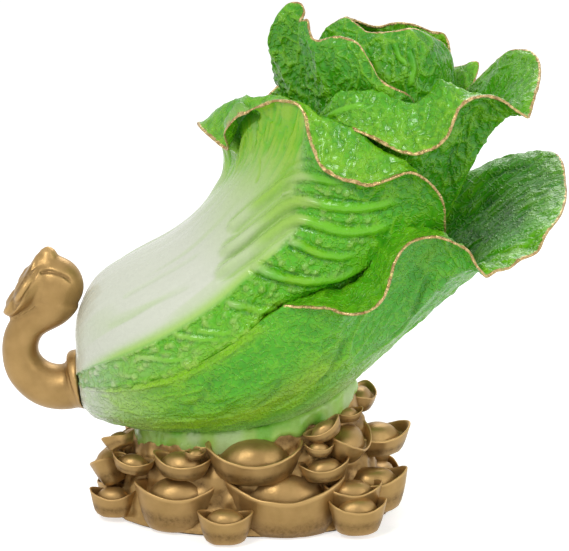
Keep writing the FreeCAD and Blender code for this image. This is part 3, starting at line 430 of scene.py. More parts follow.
def lattice(cells, seed):
    """Numbers from 0 to 1 that look random, one for each whole-number place."""
    cells = cells.astype(np.int64)
    mixed = cells[..., 0] * 374761393 + cells[..., 1] * 668265263
    mixed = mixed + cells[..., 2] * 1440662683 + seed * 1274126177
    mixed = (mixed ^ (mixed >> 13)) * 1103515245 & 0x7fffffff
    mixed = (mixed ^ (mixed >> 15)) * 12820163 & 0x7fffffff
    return ((mixed ^ (mixed >> 11)) & 0xffffff) / 0xffffff


def noise(points, size, seed=0):
    """Smooth noise from -1 to 1 with features of the given size."""
    scaled = points / size
    base = np.floor(scaled)
    part = scaled - base
    part = part * part * (3.0 - 2.0 * part)
    total = 0.0
    for corner in np.ndindex(2, 2, 2):
        offset = np.array(corner)
        weight = np.prod(np.where(offset, part, 1.0 - part), axis=-1)
        total = total + weight * lattice(base + offset, seed)
    return total * 2.0 - 1.0


# Farther than any neighbouring seed, in cell sizes
beyond_cells = 9.0


def cells(points, size, seed=0):
    """Distances to the nearest and second nearest of scattered seeds, in cell sizes."""
    scaled = points / size
    base = np.floor(scaled)
    nearest = np.full(points.shape[:-1], beyond_cells)
    second = nearest.copy()
    for corner in np.ndindex(3, 3, 3):
        place = base + np.array(corner) - 1.0
        jitter = np.stack([lattice(place, seed + axis) for axis in range(3)], -1)
        away = np.linalg.norm(place + jitter - scaled, axis=-1)
        second = np.minimum(second, np.maximum(away, nearest))
        nearest = np.minimum(nearest, away)
    return nearest, second


nodule_size = 4.0
nodule_height = 1.9
cell_size = 4.4
worm_size = 4.6
cell_warp = 1.6
cell_height = 1.0
swirl_size = 9.0
swirl_height = 0.6
crinkle_fade = 3.5


def savoy(points, size, seed):
    """Crinkled leaf skin: rounded blisters parted by narrow grooves, from 0 to 1."""
    warp = np.stack([noise(points, size * 1.6, seed + 5 + axis) for axis in range(3)], -1)
    nearest, second = cells(points + warp * cell_warp * size / cell_size, size, seed)
    return smooth((second - nearest) / 0.42)


def worms(points, size, seed):
    """Narrow ridges that wander over the skin, from 0 to 1."""
    warp = np.stack([noise(points, size * 1.5, seed + 9 + axis) for axis in range(3)], -1)
    return smooth(1.0 - np.abs(noise(points + warp * size * 0.5, size, seed + 8)) / 0.34)


def nodules(points, size, seed):
    """Round bumps standing apart, from 0 to 1."""
    warp = np.stack([noise(points, size * 1.4, seed + 7 + axis) for axis in range(3)], -1)
    nearest, second = cells(points + warp * size * 0.22, size, seed)
    return smooth((0.60 - nearest) / 0.42)


# Camera places for the veins

def camera_axes():
    tilt = math.radians(view_elevation)
    back = np.array((0.0, -math.cos(tilt), math.sin(tilt)))
    place = np.array(view_target) + back * view_distance
    return place, np.array((1.0, 0.0, 0.0)), np.array((0.0, math.sin(tilt), math.cos(tilt))), -back


def to_pixels(points):
    """Pixel and depth of points in the photograph's frame."""
    place, right, up, forward = camera_axes()
    away = points - place
    depth = away @ forward
    scale = view_distance / pixel_size / depth
    return image_width / 2 + (away @ right) * scale, image_height / 2 - (away @ up) * scale, depth


vein_step = 3.0
depth_weight = 0.02
turned_away_cost = 1e6


def spread_points(points):
    """Smooth line through the listed points, as points a few pixels apart."""
    points = np.array(points, float)
    padded = np.vstack((2 * points[0] - points[1], points, 2 * points[-1] - points[-2]))
    line = []
    for index in range(1, len(padded) - 2):
        before, first, second, after = padded[index - 1:index + 3]
        count = max(2, int(np.linalg.norm(second - first) / vein_step))
        step = np.arange(count)[:, None] / count
        line.append(blend(first, (second - before) / 2, second, (after - first) / 2, step))
    return np.vstack(line + [padded[-2:-1]])


def stroke_lines(strokes, face, points, normals):
    """Lines on a face under the listed pixels of its strokes."""
    columns, rows, depth = to_pixels(points)
    facing = np.sum(normals * (camera_axes()[0] - points), axis=-1) > 0
    cost_back = np.where(facing, 0.0, turned_away_cost) + depth_weight * (depth - depth.min())
    lines = []
    for stroke in strokes:
        if stroke[0] != face:
            continue
        found = []
        for pixel in spread_points(stroke[3:]):
            cost = (columns - pixel[0]) ** 2 + (rows - pixel[1]) ** 2 + cost_back
            found.append(points.reshape(-1, 3)[np.argmin(cost)])
        line = np.array(found)
        line[1:-1] = (line[:-2] + line[1:-1] * 2 + line[2:]) / 4
        lines.append((stroke[1], stroke[2], line))
    return lines


def line_distance(points, line):
    """Distance of points to a line of short runs, and the share of the line passed."""
    best = np.full(len(points), 1e9)
    share = np.zeros(len(points))
    runs = len(line) - 1
    for index in range(runs):
        start, run = line[index], line[index + 1] - line[index]
        step = np.clip((points - start) @ run / max(run @ run, 1e-9), 0.0, 1.0)
        away = np.linalg.norm(points - start - step[:, None] * run, axis=1)
        closer = away < best
        best = np.where(closer, away, best)
        share = np.where(closer, (index + step) / runs, share)
    return best, share


vein_reach = 5.0
vein_end_share = 0.55
faint_vein = 0.55
faint_share = 0.22


def vein_relief(points, lines):
    """Height that the veins add, how much a point belongs to one, and its share from the root."""
    flat = points.reshape(-1, 3)
    height, member, passed = np.zeros(len(flat)), np.zeros(len(flat)), np.ones(len(flat))
    for rise, width, line in lines:
        low, high = line.min(axis=0) - vein_reach * width, line.max(axis=0) + vein_reach * width
        near = np.flatnonzero(np.all((flat > low) & (flat < high), axis=1))
        away, share = line_distance(flat[near], line)
        taper = mix(1.0, vein_end_share, smooth(share)) * smooth(share / 0.10) * smooth((1.0 - share) / 0.18)
        wide = width * mix(0.75, 1.0, taper)
        crown = np.exp(-np.abs(away / wide) ** 2.6)
        ditch = np.exp(-((away - wide * 1.75) / (wide * 0.45)) ** 2)
        height[near] += rise * taper * crown
        if rise > 0:
            height[near] -= 0.50 * rise * taper * ditch
        belongs = np.exp(-np.abs(away / (wide * 1.3)) ** 4) * np.sign(rise) * smooth(taper * 2.5)
        if abs(rise) < faint_vein:
            belongs = belongs * faint_share
        stronger = np.abs(belongs) > np.abs(member[near])
        member[near] = np.where(stronger, belongs, member[near])
        passed[near] = np.where(stronger, share, passed[near])
        if rise > 0:
            carved = np.minimum(member[near], -ditch * taper)
            member[near] = np.where(ditch * taper > 0.25, carved, member[near])
    shape = points.shape[:-1]
    return height.reshape(shape), member.reshape(shape), passed.reshape(shape)


def patch_share(points, normals, patches):
    """How much each point lies in one of the listed patches, from 0 to 1."""
    strokes = tuple(("patch", 0.0) + row for row in patches)
    share = np.zeros(points.shape[:-1]).reshape(-1)
    flat = points.reshape(-1, 3)
    for height, width, line in stroke_lines(strokes, "patch", points, normals):
        low, high = line.min(axis=0) - 2.0 * width, line.max(axis=0) + 2.0 * width
        near = np.flatnonzero(np.all((flat > low) & (flat < high), axis=1))
        away, passed = line_distance(flat[near], line)
        share[near] = np.maximum(share[near], np.exp(-(away / width) ** 4))
    return share.reshape(points.shape[:-1])


# Paint

def linear(red, green, blue):
    """Linear colour from screen values out of 255."""
    values = np.array((red, green, blue)) / 255.0
    return ((values + 0.055) / 1.055) ** 2.4


stalk_white = linear(222, 226, 208)
stalk_green = linear(186, 214, 140)
lip_green = linear(150, 202, 44)
leaf_green = linear(86, 190, 22)
deep_green = linear(30, 118, 4)
blue_green = linear(84, 184, 66)
yellow_green = linear(160, 216, 36)
olive_yellow = linear(176, 204, 52)
vein_green = linear(112, 196, 36)
rib_green = linear(120, 202, 36)


def layer(paint, colour, share):
    """Paint another colour over the paint where the share says."""
    share = np.broadcast_to(np.clip(share, 0.0, 1.0), paint.shape[:-1])
    return paint + (colour - paint) * share[..., None]


def curve_over(across, pairs):
    """Value along the leaf's width from listed pairs of place and value."""
    return np.interp(across, [pair[0] for pair in pairs], [pair[1] for pair in pairs])


# Where the crinkled blade starts on the front upper leaf, by place across
blade_start = (
    (0.0, 1.55), (0.10, 1.65), (0.25, 1.80), (0.45, 1.92), (0.60, 1.84), (0.64, 1.64), (0.70, 1.50),
    (0.755, 1.42), (0.79, 1.34), (0.815, 1.15), (0.825, 0.85), (0.84, 0.30), (0.90, 0.0), (1.0, 0.0))
stalk_edge_share = 0.822
streak_scale = 100
streak_stretch = 5
broad_streak_size = 5.0
fine_streak_size = 1.7
wrinkle_size = 1.3

# Relief, in mm
stalk_step = 1.1
cave_depth = 6.5
butt_swell = 2.6
broad_streak_height = 0.45
fine_streak_height = 0.12
lip_streak_height = 0.40
wrinkle_depth = 0.55
wrinkle_sway = 9.0
ragged_size = 7.0
patch_size = 22.0
upper_seam_height = 0.8
lower_seam_height = 0.9
seam_rounding = 1.4

# Distances from the rim, in mm, for the painted light near the rim and the painted shade farther from it
painted_rim_light_reach = 14.0
inner_shade_start, inner_shade_width = 44.0, 45.0
outer_shade_start, outer_shade_width = 20.0, 40.0


def coats(paint, rows):
    """Coats of paint one over the other, from rows of colour and share."""
    for colour, share in rows:
        paint = layer(paint, colour, share)
    return paint


def stalk_lines(across, rise, local):
    """Broad streaks, fine streaks and wrinkles that run along the stalk."""
    level = rise * 0 + across * 0
    places = np.stack((across * streak_scale + level, rise * streak_stretch + level, level), -1)
    broad = noise(places, broad_streak_size, 2)
    fine = noise(places * np.array((1.0, 2.4, 1.0)), fine_streak_size, 3)
    sway = 0.8 * noise(local, wrinkle_sway, 36)[..., None]
    crease = np.abs(noise(places * np.array((1.0, 1.1, 1.0)) + sway, wrinkle_size, 37))
    return broad, fine, 1.0 - smooth(crease / 0.30)


def stalk_paint(across, rise, lip, cave, lines):
    """White stalk that turns green toward the lip, with a yellow glow along its edge and painted shadow in
    the cave under the lip.
    """
    streaks, fine_streaks, wrinkle = lines
    started = ease(rise, 0.0, 0.3)
    glow = hump(across, stalk_edge_share - 0.010, 0.034) * fade(rise, 1.20, 0.25)
    edge_line = hump(across, stalk_edge_share - 0.004, 0.007) * (rise < 1.4) * ease(rise, 0.0, 0.15)
    return coats(np.ones(lip.shape + (3,)) * stalk_white, (
        (stalk_green, 0.9 * ease(rise, 0.80, 0.70)),
        (lip_green, ease(rise, 1.22, 0.45) * (1.0 - 0.6 * ease(across, 0.60, 0.10))),
        (yellow_green, 0.85 * glow * started),
        (leaf_green, 0.6 * edge_line),
        (stalk_green, 0.30 * smooth(-streaks * 3) * started),
        (leaf_green, 0.30 * lip * smooth(-fine_streaks * 3)),
        (leaf_green, 0.60 * lip * wrinkle),
        # Painted shadow: deep green in the cave under the overhanging lip
        (deep_green, 0.9 * cave),
        (leaf_green, 0.35 * ease(rise, 1.80, 0.15) * smooth((0.30 - across) / 0.1))))


def upper_leaf_finish(across, rise, local, member, passed, patches):
    """Smooth pale stalk that fans into ribs, with the crinkled blade beside it."""
    start = curve_over(across, blade_start)
    on_rib = np.maximum(member, 0.0) * (rise > 1.0)
    ragged = 0.05 * noise(local, ragged_size, 31) - 0.16 * on_rib
    blade = smooth((rise + ragged - start) / 0.22)
    beside = ease(across, stalk_edge_share - 0.006, 0.016) * np.ones_like(rise)
    blade = np.where(rise < 1.15, beside, np.maximum(blade, beside))
    lines = stalk_lines(across, rise, local)
    streaks, fine_streaks, wrinkle = lines
    lip = ease(rise, 1.30, 0.35) * fade(across, 0.62, 0.08)
    cave = ease(rise, 1.76, 0.07) * fade(rise, 1.975, 0.02)
    cave = cave * ease(across, 0.262, 0.03) * fade(across, 0.40, 0.05)
    butt = ease(rise, 0.0, 0.05) * fade(rise, 0.12, 0.25) * fade(across, 0.45, 0.3)
    seam_ridge = hump(across, 0.984, 0.008) * fade(rise, 1.15, 0.2)
    streaked = broad_streak_height * streaks
    streaked = streaked + (fine_streak_height + lip_streak_height * lip) * fine_streaks
    height = stalk_step * fade(across, stalk_edge_share, 0.02) * fade(rise, 1.25, 0.2)
    height = height + (1.0 - blade) * ease(rise, 0.0, 0.2) * streaked
    height = height - cave_depth * cave + butt_swell * butt - wrinkle_depth * lip * wrinkle * (1.0 - blade)
    height = height + upper_seam_height * seam_ridge * ease(rise, 0.0, 0.1)
    tone = coats(np.ones(blade.shape + (3,)) * leaf_green, (
        (yellow_green, 0.60 * fade(rise, 0.4, 1.0)),
        (stalk_green, 0.70 * fade(rise, 0.15, 0.75)),
        (stalk_green, 0.60 * hump(rise - start, 0.08, 0.16) * (rise > 1.1)),
        (yellow_green, 0.7 * ease(across, 0.955, 0.03) * (rise < 1.15)),
        (deep_green, 0.45 * ease(rise, 1.58, 0.3) * ease(across, 0.66, 0.12)),
        (lip_green, 0.5 * patches),
        (stalk_white, 0.92 * fade(rise, 0.08, 0.20))))
    bumpy = blade * ease(rise - start, -0.02, 0.1) * fade(rise - start, 0.28, 0.20) * (rise > 1.0)
    low_bumps = (across > stalk_edge_share) * fade(rise, 0.9, 0.3)
    bumpy = np.maximum(0.5 * bumpy, 0.6 * blade * low_bumps)
    bumpy = np.maximum(bumpy, patches * (1.0 - on_rib))
    early = np.maximum(member, 0.0) * (rise > 0.9)
    paint = coats(stalk_paint(across, rise, lip, cave, lines), (
        (tone, blade),
        (stalk_green, 0.6 * early * fade(passed, 0.05, 0.25)),
        (lip_green, 0.7 * early * ease(passed, 0.20, 0.15) * fade(passed, 0.45, 0.25))))
    return height, paint, blade, bumpy


def lower_leaf_finish(across, rise, paint, patch):
    """Pale left end, raised seam and whitish band along the belly of the front lower leaf."""
    level = np.ones_like(across)
    butt = ease(rise, 0.0, 0.06) * fade(rise, 0.14, 0.30) * ease(across, 0.02, 0.15)
    seam_ridge = hump(across, 0.016, 0.010) * fade(rise, 1.0, 0.2)
    rounding = fade(across, 0.0, 0.014) * (rise < 1.1)
    height = butt_swell * butt + lower_seam_height * seam_ridge * ease(rise, 0.0, 0.1)
    height = height - seam_rounding * rounding
    under = ease(across, 0.27, 0.17) * fade(across, 0.84, 0.12) * fade(rise, 0.8, 0.5)
    near_seam = fade(across, 0.0, 0.05) * fade(rise, 0.9, 0.3)
    olive = hump(across, 0.25, 0.06) * fade(rise, 0.9, 0.3)
    left_end = fade(rise, 0.10, 0.36)
    paint = coats(paint, (
        (yellow_green, 0.55 * fade(rise, 0.1, 0.6) * level + 0.75 * near_seam),
        (yellow_green, 0.35 * smooth(patch * 1.5)),
        (olive_yellow, 0.6 * olive * ease(rise, 0.0, 0.3)),
        (stalk_green, 0.80 * left_end * smooth(0.8 + patch)),
        (stalk_green, 0.80 * under),
        (stalk_white, 0.60 * under * fade(rise, 0.1, 0.5)),
        (stalk_white, 0.95 * fade(rise, 0.05, 0.16) * level),
        (blue_green, 0.45 * ease(rise, 1.15, 0.4) * ease(across, 0.14, 0.12))))
    # Less painted shade between the blisters on the pale left end, the belly band and the rest of this leaf
    crevice_shade_share = 1.0 - 0.85 * np.maximum(np.maximum(under, left_end), 0.4 * level)
    return height, paint, (1.0 - 0.6 * under) * (1.0 - 0.7 * fade(rise, 0.0, 0.13)), crevice_shade_share


def back_leaf_finish(across, rise, paint):
    """Pale middle and green sides of the back leaf."""
    blade = 1.0 - hump(across, 0.5, 0.36, 6) * fade(rise, 1.25, 0.3)
    far = ease(rise, 0.7, 0.7) * np.ones_like(across)
    stalk = layer(np.ones(blade.shape + (3,)) * stalk_white, stalk_green, far)
    return layer(stalk, paint, blade), blade


def leaf_finish(name, face, across, rise, rim_run, places, points, normals):
    """Relief in mm, paint and how much of the crinkled blade each place of one face is."""
    outer, lower = face == "outer", name == "front_lower_leaf"
    local = np.stack((places[0] * 0.75, places[1], places[2]), -1) if outer else points
    seed = 11 * (list(LEAVES).index(name) + 1) + (0 if outer else 5)
    height, member, passed = vein_relief(points, stroke_lines(VEINS.get(name, ()), face, points, normals))
    patch = noise(local, patch_size, seed + 4)
    blade = np.ones_like(rise + across)
    bumpy, crevice_shade_share, crinkle = 0.0 * blade, 1.0, cell_height
    paint = np.ones(blade.shape + (3,)) * leaf_green
    if name == "front_upper_leaf" and outer:
        patches = patch_share(points, normals, BUMP_PATCHES)
        added, paint, blade, bumpy = upper_leaf_finish(across, rise, local, member, passed, patches)
        height, crinkle = height + added, cell_height * 0.9
    elif name == "back_leaf" and outer:
        paint, blade = back_leaf_finish(across, rise, paint)
    elif lower and outer:
        added, paint, blade, crevice_shade_share = lower_leaf_finish(across, rise, paint, patch)
        height, crinkle = height + added, cell_height * 0.85
    elif outer:
        # Outer faces of the inner leaves: a deeper green all over, plus painted shade that grows farther from
        # the rim
        shade = 0.36 + 0.25 * ease(rim_run, outer_shade_start, outer_shade_width)
        paint = coats(paint, ((vein_green, 0.25 * smooth(patch * 1.5)), (deep_green, shade)))
        crinkle = cell_height * 1.15
    else:
        # Inner faces: painted light near the rim, a slightly deeper green all over, and painted shade that
        # deepens farther in from the rim
        paint = coats(paint, (
            (yellow_green, 0.45 * np.exp(-rim_run / painted_rim_light_reach)),
            (deep_green, 0.15 * np.ones_like(rim_run)),
            (deep_green, 0.55 * ease(rim_run, inner_shade_start, inner_shade_width))))
        if name == "front_upper_leaf":
            crinkle = crinkle * (0.45 + 0.55 * ease(across, 0.50, 0.12))
    on_vein, groove = np.maximum(member, 0.0), np.maximum(-member, 0.0)
    blister = savoy(local, cell_size * (1.3 if lower else 1.0), seed)
    knob = nodules(local, nodule_size, seed + 2)
    swirl = noise(local, swirl_size, seed + 3)
    worm = worms(local, worm_size * (1.5 if lower else 1.15), seed)
    fine_skin = crinkle * (0.45 * (blister - 0.5) + 0.75 * (worm - 0.3))
    broad_skin = swirl_height * np.minimum(crinkle / cell_height, 1.0) * swirl
    skin = (1.0 - bumpy) * fine_skin + nodule_height * bumpy * knob + broad_skin
    plain = (1.0 - on_vein) * (1.0 - 0.6 * groove) * (0.25 + 0.75 * smooth(rim_run / crinkle_fade))
    shade = blade * (1.0 - on_vein)
    paint = coats(paint, (
        (rib_green, 0.85 * on_vein * blade * smooth(passed * 2.0 - 0.3)),
        (lip_green, 0.5 * groove * (1.0 - blade)),
        # Painted shade: deep green in the blade's grooves and in the ditches beside raised ribs
        (deep_green, (0.45 if lower and outer else 0.85) * groove * blade),
        # Painted shade: deep green in the narrow grooves between the blisters
        (deep_green, crevice_shade_share * shade * (1.0 - bumpy) * 0.45 * (1.0 - blister) ** 2 * (1.0 - worm)),
        # Painted highlight: paler knob tops, with leaf green between the knobs
        (leaf_green, shade * bumpy * 0.85 * (1.0 - knob)),
        (stalk_green, shade * bumpy * 0.32 * knob),
        # Painted highlight: yellow green along the crinkle ridges
        (yellow_green, shade * (1.0 - bumpy) * 0.35 * worm * smooth(0.6 + patch))))
    sides = smooth(np.minimum(across, WIDTHS.get(name, 1.0) - across) / 0.012)
    return (height + blade * plain * skin) * sides, paint, blade * (1.0 - 0.9 * on_vein)


# Meshes

def new_mesh(name, points, faces, smooth_faces=True):
    """Object in metres from points in mm and faces as index tuples or arrays of equal width."""
    mesh = bpy.data.meshes.new(name)
    points = np.asarray(points, float) * METRES
    groups = [np.asarray(group, np.int32) for group in faces]
    loops = np.concatenate([group.reshape(-1) for group in groups])
    sizes = np.concatenate([np.full(len(group), group.shape[1], np.int32) for group in groups])
    mesh.vertices.add(len(points))
    mesh.vertices.foreach_set("co", points.astype(np.float32).reshape(-1))
    mesh.loops.add(len(loops))
    mesh.loops.foreach_set("vertex_index", loops)
    mesh.polygons.add(len(sizes))
    mesh.polygons.foreach_set("loop_start", np.concatenate(([0], np.cumsum(sizes)[:-1])).astype(np.int32))
    mesh.polygons.foreach_set("use_smooth", np.full(len(sizes), smooth_faces))
    mesh.update(calc_edges=True)
    mesh.validate()
    piece = bpy.data.objects.new(name, mesh)
    bpy.context.scene.collection.objects.link(piece)
    return piece


def add_numbers(piece, name, values):
    """Store one number for each vertex under a name that the materials read."""
    attribute = piece.data.attributes.new(name, "FLOAT", "POINT")
    attribute.data.foreach_set("value", np.asarray(values, np.float32).reshape(-1))


def add_paint(piece, name, values):
    """Store one colour for each vertex under a name that the materials read."""
    attribute = piece.data.attributes.new(name, "FLOAT_COLOR", "POINT")
    full = np.ones((len(piece.data.vertices), 4), np.float32)
    full[:, :3] = np.asarray(values).reshape(-1, 3)
    attribute.data.foreach_set("color", full.reshape(-1))


def ring_faces(row_count, column_count):
    """Quads of a grid whose last row joins its first."""
    rows, columns = np.meshgrid(np.arange(row_count), np.arange(column_count - 1), indexing="ij")
    after = (rows + 1) % row_count
    return np.stack((rows * column_count + columns, rows * column_count + columns + 1,
                     after * column_count + columns + 1, after * column_count + columns), -1).reshape(-1, 4)


def zip_faces(left, right, left_places, right_places, flip):
    """Triangles between two lines of vertices that climb together."""
    faces = []
    first, second = 0, 0
    while first < len(left) - 1 or second < len(right) - 1:
        up_left = second == len(right) - 1 or (
            first < len(left) - 1 and left_places[first + 1] <= right_places[second + 1])
        if up_left:
            face = (left[first], left[first + 1], right[second])
            first = first + 1
        else:
            face = (left[first], right[second + 1], right[second])
            second = second + 1
        faces.append(face[::-1] if flip else face)
    return faces


rim_rows = 5
# How much closer the rows stand near the butt and near the rim
body_crowding = 1.3
rim_crowding = 1.1
inner_crowding = 1.35


def inner_rises(name, count):
    """Rises from the rim down the inner face, closer together near the rim."""
    rise = np.linspace(2.0, 0.0, 241)[:, None]
    across = np.linspace(0.1, 0.9, 9)[None, :]
    line = around(*leaf_places(name, across, rise)) + band_push(name, across, rise)
    run = (run_to_end(line[::-1])[::-1]).max(axis=1)
    wanted = run[-1] * np.linspace(0.0, 1.0, count) ** inner_crowding
    return np.interp(wanted, np.maximum.accumulate(run), rise[:, 0])


def leaf_rim(outer, inner):
    """Rows of a rounded rim from the end of the outer face to the start of the inner one."""
    along = unit(outer[-1] - outer[-3])
    middle, radius = (outer[-1] + inner[0]) / 2, np.linalg.norm(outer[-1] - inner[0], axis=-1)[:, None] / 2
    side = unit(outer[-1] - inner[0])
    turns = np.linspace(0.0, math.pi, rim_rows + 2)[1:-1]
    return np.stack([middle + side * radius * math.cos(turn) + along * radius * math.sin(turn)
                     for turn in turns])


def side_faces(outer_rise, inner_rise, column_count):
    """Triangles that close a leaf along its two sides."""
    outer_count = len(outer_rise)
    row_count = outer_count + rim_rows + len(inner_rise)
    right_places = np.concatenate((inner_rise[::-1, 0], np.full(rim_rows, 2.0)))
    faces = []
    for column in (0, column_count - 1):
        left = np.arange(outer_count) * column_count + column
        right = np.arange(row_count - 1, outer_count - 1, -1) * column_count + column
        faces += zip_faces(left, right, outer_rise[:, 0], right_places, column == 0)
    return np.array(faces)


def dressed_leaf(name):
    """Closed crinkled leaf: outer face, rounded rim and inner face in one mesh."""
    column_count, body_rows, flare_rows, inner_rows = GRIDS[name]
    across = np.linspace(0.0, WIDTHS.get(name, 1.0), column_count)[None, :]
    low_rise = np.linspace(0.0, 1.0, body_rows, endpoint=False) ** body_crowding
    high_rise = 2.0 - (1.0 - np.linspace(0.0, 1.0, flare_rows)) ** rim_crowding
    outer_rise = np.concatenate((low_rise, high_rise))[:, None]
    inner_rise = inner_rises(name, inner_rows)[:, None]
    outer_places = leaf_places(name, across, outer_rise)
    inner_places = leaf_places(name, across, inner_rise)
    outer, backing = around(*outer_places), around(*inner_places)
    wall = mix(leaf_thickness, visual_rim_thickness, smooth(inner_rise - 1.0))[..., None]
    inner = backing + grid_normals(backing) * wall + band_push(name, across, inner_rise)
    outer_normals, inner_normals = grid_normals(outer), grid_normals(inner)
    outer_run, inner_run = run_to_end(outer), run_to_end(inner[::-1])[::-1]
    height, paint, blade = leaf_finish(name, "outer", across, outer_rise, outer_run, outer_places,
                                       outer, outer_normals)
    back_height, back_paint, back_blade = leaf_finish(name, "inner", across, inner_rise, inner_run,
                                                      inner_places, inner, inner_normals)
    outer = outer + outer_normals * height[..., None]
    inner = inner + inner_normals * back_height[..., None]
    points = np.concatenate((outer, leaf_rim(outer, inner), inner))
    faces = ring_faces(len(points), column_count)[:, ::-1]
    sides = side_faces(outer_rise, inner_rise, column_count)
    piece = new_mesh("dressed_" + name, points.reshape(-1, 3), [faces, sides])
    rim_zero = np.zeros((rim_rows, column_count))
    rim_paint = np.ones((rim_rows, column_count, 3)) * yellow_green
    add_numbers(piece, "rim_run", np.concatenate((outer_run, rim_zero, inner_run)))
    add_numbers(piece, "blade", np.concatenate((blade, rim_zero + 1.0, back_blade)))
    add_paint(piece, "paint", np.concatenate((paint, rim_paint, back_paint)))
    return piece


# Materials

class Nodes:
    """Short way to make and join the nodes of one material."""

    def __init__(self, name):
        self.material = bpy.data.materials.new(name)
        self.material.use_nodes = True
        self.tree = self.material.node_tree
        self.shader = self.tree.nodes["Principled BSDF"]

    def node(self, kind, settings=(), **inputs):
        made = self.tree.nodes.new(kind)
        for key, value in dict(settings).items():
            setattr(made, key, value)
        for key, value in inputs.items():
            self.put(made, key.replace("_", " "), value)
        return made

    def put(self, node, key, value):
        socket = node.inputs[int(key)] if key.isdigit() else node.inputs[key]
        if isinstance(value, bpy.types.NodeSocket):
            self.tree.links.new(value, socket)
        else:
            socket.default_value = value

    def coordinates(self):
        return self.node("ShaderNodeTexCoord").outputs["Object"]

    def noise(self, size, detail=3.0, rough=0.55):
        made = self.node("ShaderNodeTexNoise", Vector=self.coordinates(), Scale=1.0 / (size * METRES),
                         Detail=detail, Roughness=rough)
        return made.outputs["Fac"]

    def number(self, name):
        return self.node("ShaderNodeAttribute", {"attribute_name": name}).outputs["Fac"]

    def paint(self, name):
        return self.node("ShaderNodeAttribute", {"attribute_name": name}).outputs["Color"]

    def math(self, operation, first, second=0.0):
        made = self.node("ShaderNodeMath", {"operation": operation})
        self.put(made, "0", first)
        self.put(made, "1", second)
        return made.outputs[0]

    def ramp(self, value, low, high, first=0.0, last=1.0):
        made = self.node("ShaderNodeMapRange", {"interpolation_type": "SMOOTHSTEP"}, Value=value)
        for key, number in (("From Min", low), ("From Max", high), ("To Min", first), ("To Max", last)):
            self.put(made, key, number)
        return made.outputs["Result"]

    def mix(self, share, first, second):
        made = self.node("ShaderNodeMix", {"data_type": "RGBA"})
        for key, value in (("0", share), ("6", first), ("7", second)):
            self.put(made, key, value)
        return made.outputs[2]

    def bump(self, height, strength, distance, normal=None):
        made = self.node("ShaderNodeBump", Height=height, Strength=strength, Distance=distance * METRES)
        if normal is not None:
            self.put(made, "Normal", normal)
        return made.outputs["Normal"]

    def finish(self, **inputs):
        for key, value in inputs.items():
            self.put(self.shader, key.replace("_", " "), value)
        return self.material


def solid(colour):
    return (float(colour[0]), float(colour[1]), float(colour[2]), 1.0)


gold_light = linear(186, 151, 96)
gold_mid = linear(150, 118, 66)
gold_dark = linear(92, 66, 30)
rim_gold = linear(208, 180, 122)
rim_dark = linear(164, 132, 76)

paint_patch_size = 16.0
crease_size = 3.4
fleck_size = 1.6
wear_size = 3.0
gilding_size = 2.5
gilding_least, gilding_most, gilding_edge = -0.1, 0.7, 0.30
crease_bump, fleck_bump = 0.9, 0.5


def leaf_material():
    """Glossy lacquered paint over fine crinkles with painted highlight along their raised lines, and a broken
    gold line along the rims.
    """
    nodes = Nodes("lacquered_leaf")
    paint = nodes.paint("paint")
    blade = nodes.number("blade")
    rim_run = nodes.number("rim_run")
    broad = nodes.ramp(nodes.noise(paint_patch_size), 0.40, 0.65, 0.0, 0.14)
    tone = nodes.mix(nodes.math("MULTIPLY", blade, broad), paint, solid(leaf_green * 0.8))
    crease = nodes.math("ABSOLUTE", nodes.math("SUBTRACT", nodes.noise(crease_size, 1.5, 0.5), 0.5))
    worm = nodes.math("MULTIPLY", nodes.ramp(crease, 0.0, 0.09, 1.0, 0.0), blade)
    # Painted highlight: yellow green along the fine raised lines
    tone = nodes.mix(nodes.math("MULTIPLY", worm, 0.22), tone, solid(yellow_green))
    fleck = nodes.noise(fleck_size, 2.0)
    flecked = nodes.math("MULTIPLY", nodes.ramp(fleck, 0.38, 0.50, 0.16, 0.0), blade)
    tone = nodes.mix(flecked, tone, solid(deep_green))
    worn = nodes.noise(wear_size, 4.0)
    line = nodes.math("SUBTRACT", rim_run, nodes.ramp(worn, 0.35, 0.65, gilding_least, gilding_most))
    gold = nodes.ramp(line, 0.0, gilding_edge, 1.0, 0.0)
    gilding = nodes.ramp(nodes.noise(gilding_size, 3.0), 0.35, 0.60)
    colour = nodes.mix(gold, tone, nodes.mix(gilding, solid(rim_dark), solid(rim_gold)))
    skin = nodes.bump(worm, 0.55, crease_bump)
    skin = nodes.bump(nodes.math("MULTIPLY", fleck, blade), 0.30, fleck_bump, skin)
    return nodes.finish(Base_Color=colour, Roughness=nodes.ramp(worn, 0.2, 0.8, 0.21, 0.34),
                        Metallic=nodes.math("MULTIPLY", gold, 0.5), Coat_Weight=0.15, Coat_Roughness=0.10,
                        Specular_IOR_Level=0.34, Normal=skin)


def plain_material(name, colour, roughness, speck_size, metallic=0.0):
    """One colour with a slight speckle, for the pad and the pins."""
    nodes = Nodes(name)
    speck = nodes.noise(speck_size, 5.0)
    tone = nodes.mix(nodes.ramp(speck, 0.3, 0.7, 0.0, 0.5), solid(colour), solid(colour * 0.6))
    return nodes.finish(Base_Color=tone, Roughness=roughness, Metallic=metallic,
                        Normal=nodes.bump(speck, 0.2, speck_size * 0.3))


core_green_start = 30.0
core_green_end = 60.0
core_speck_size = 2.0
core_bump = 1.2


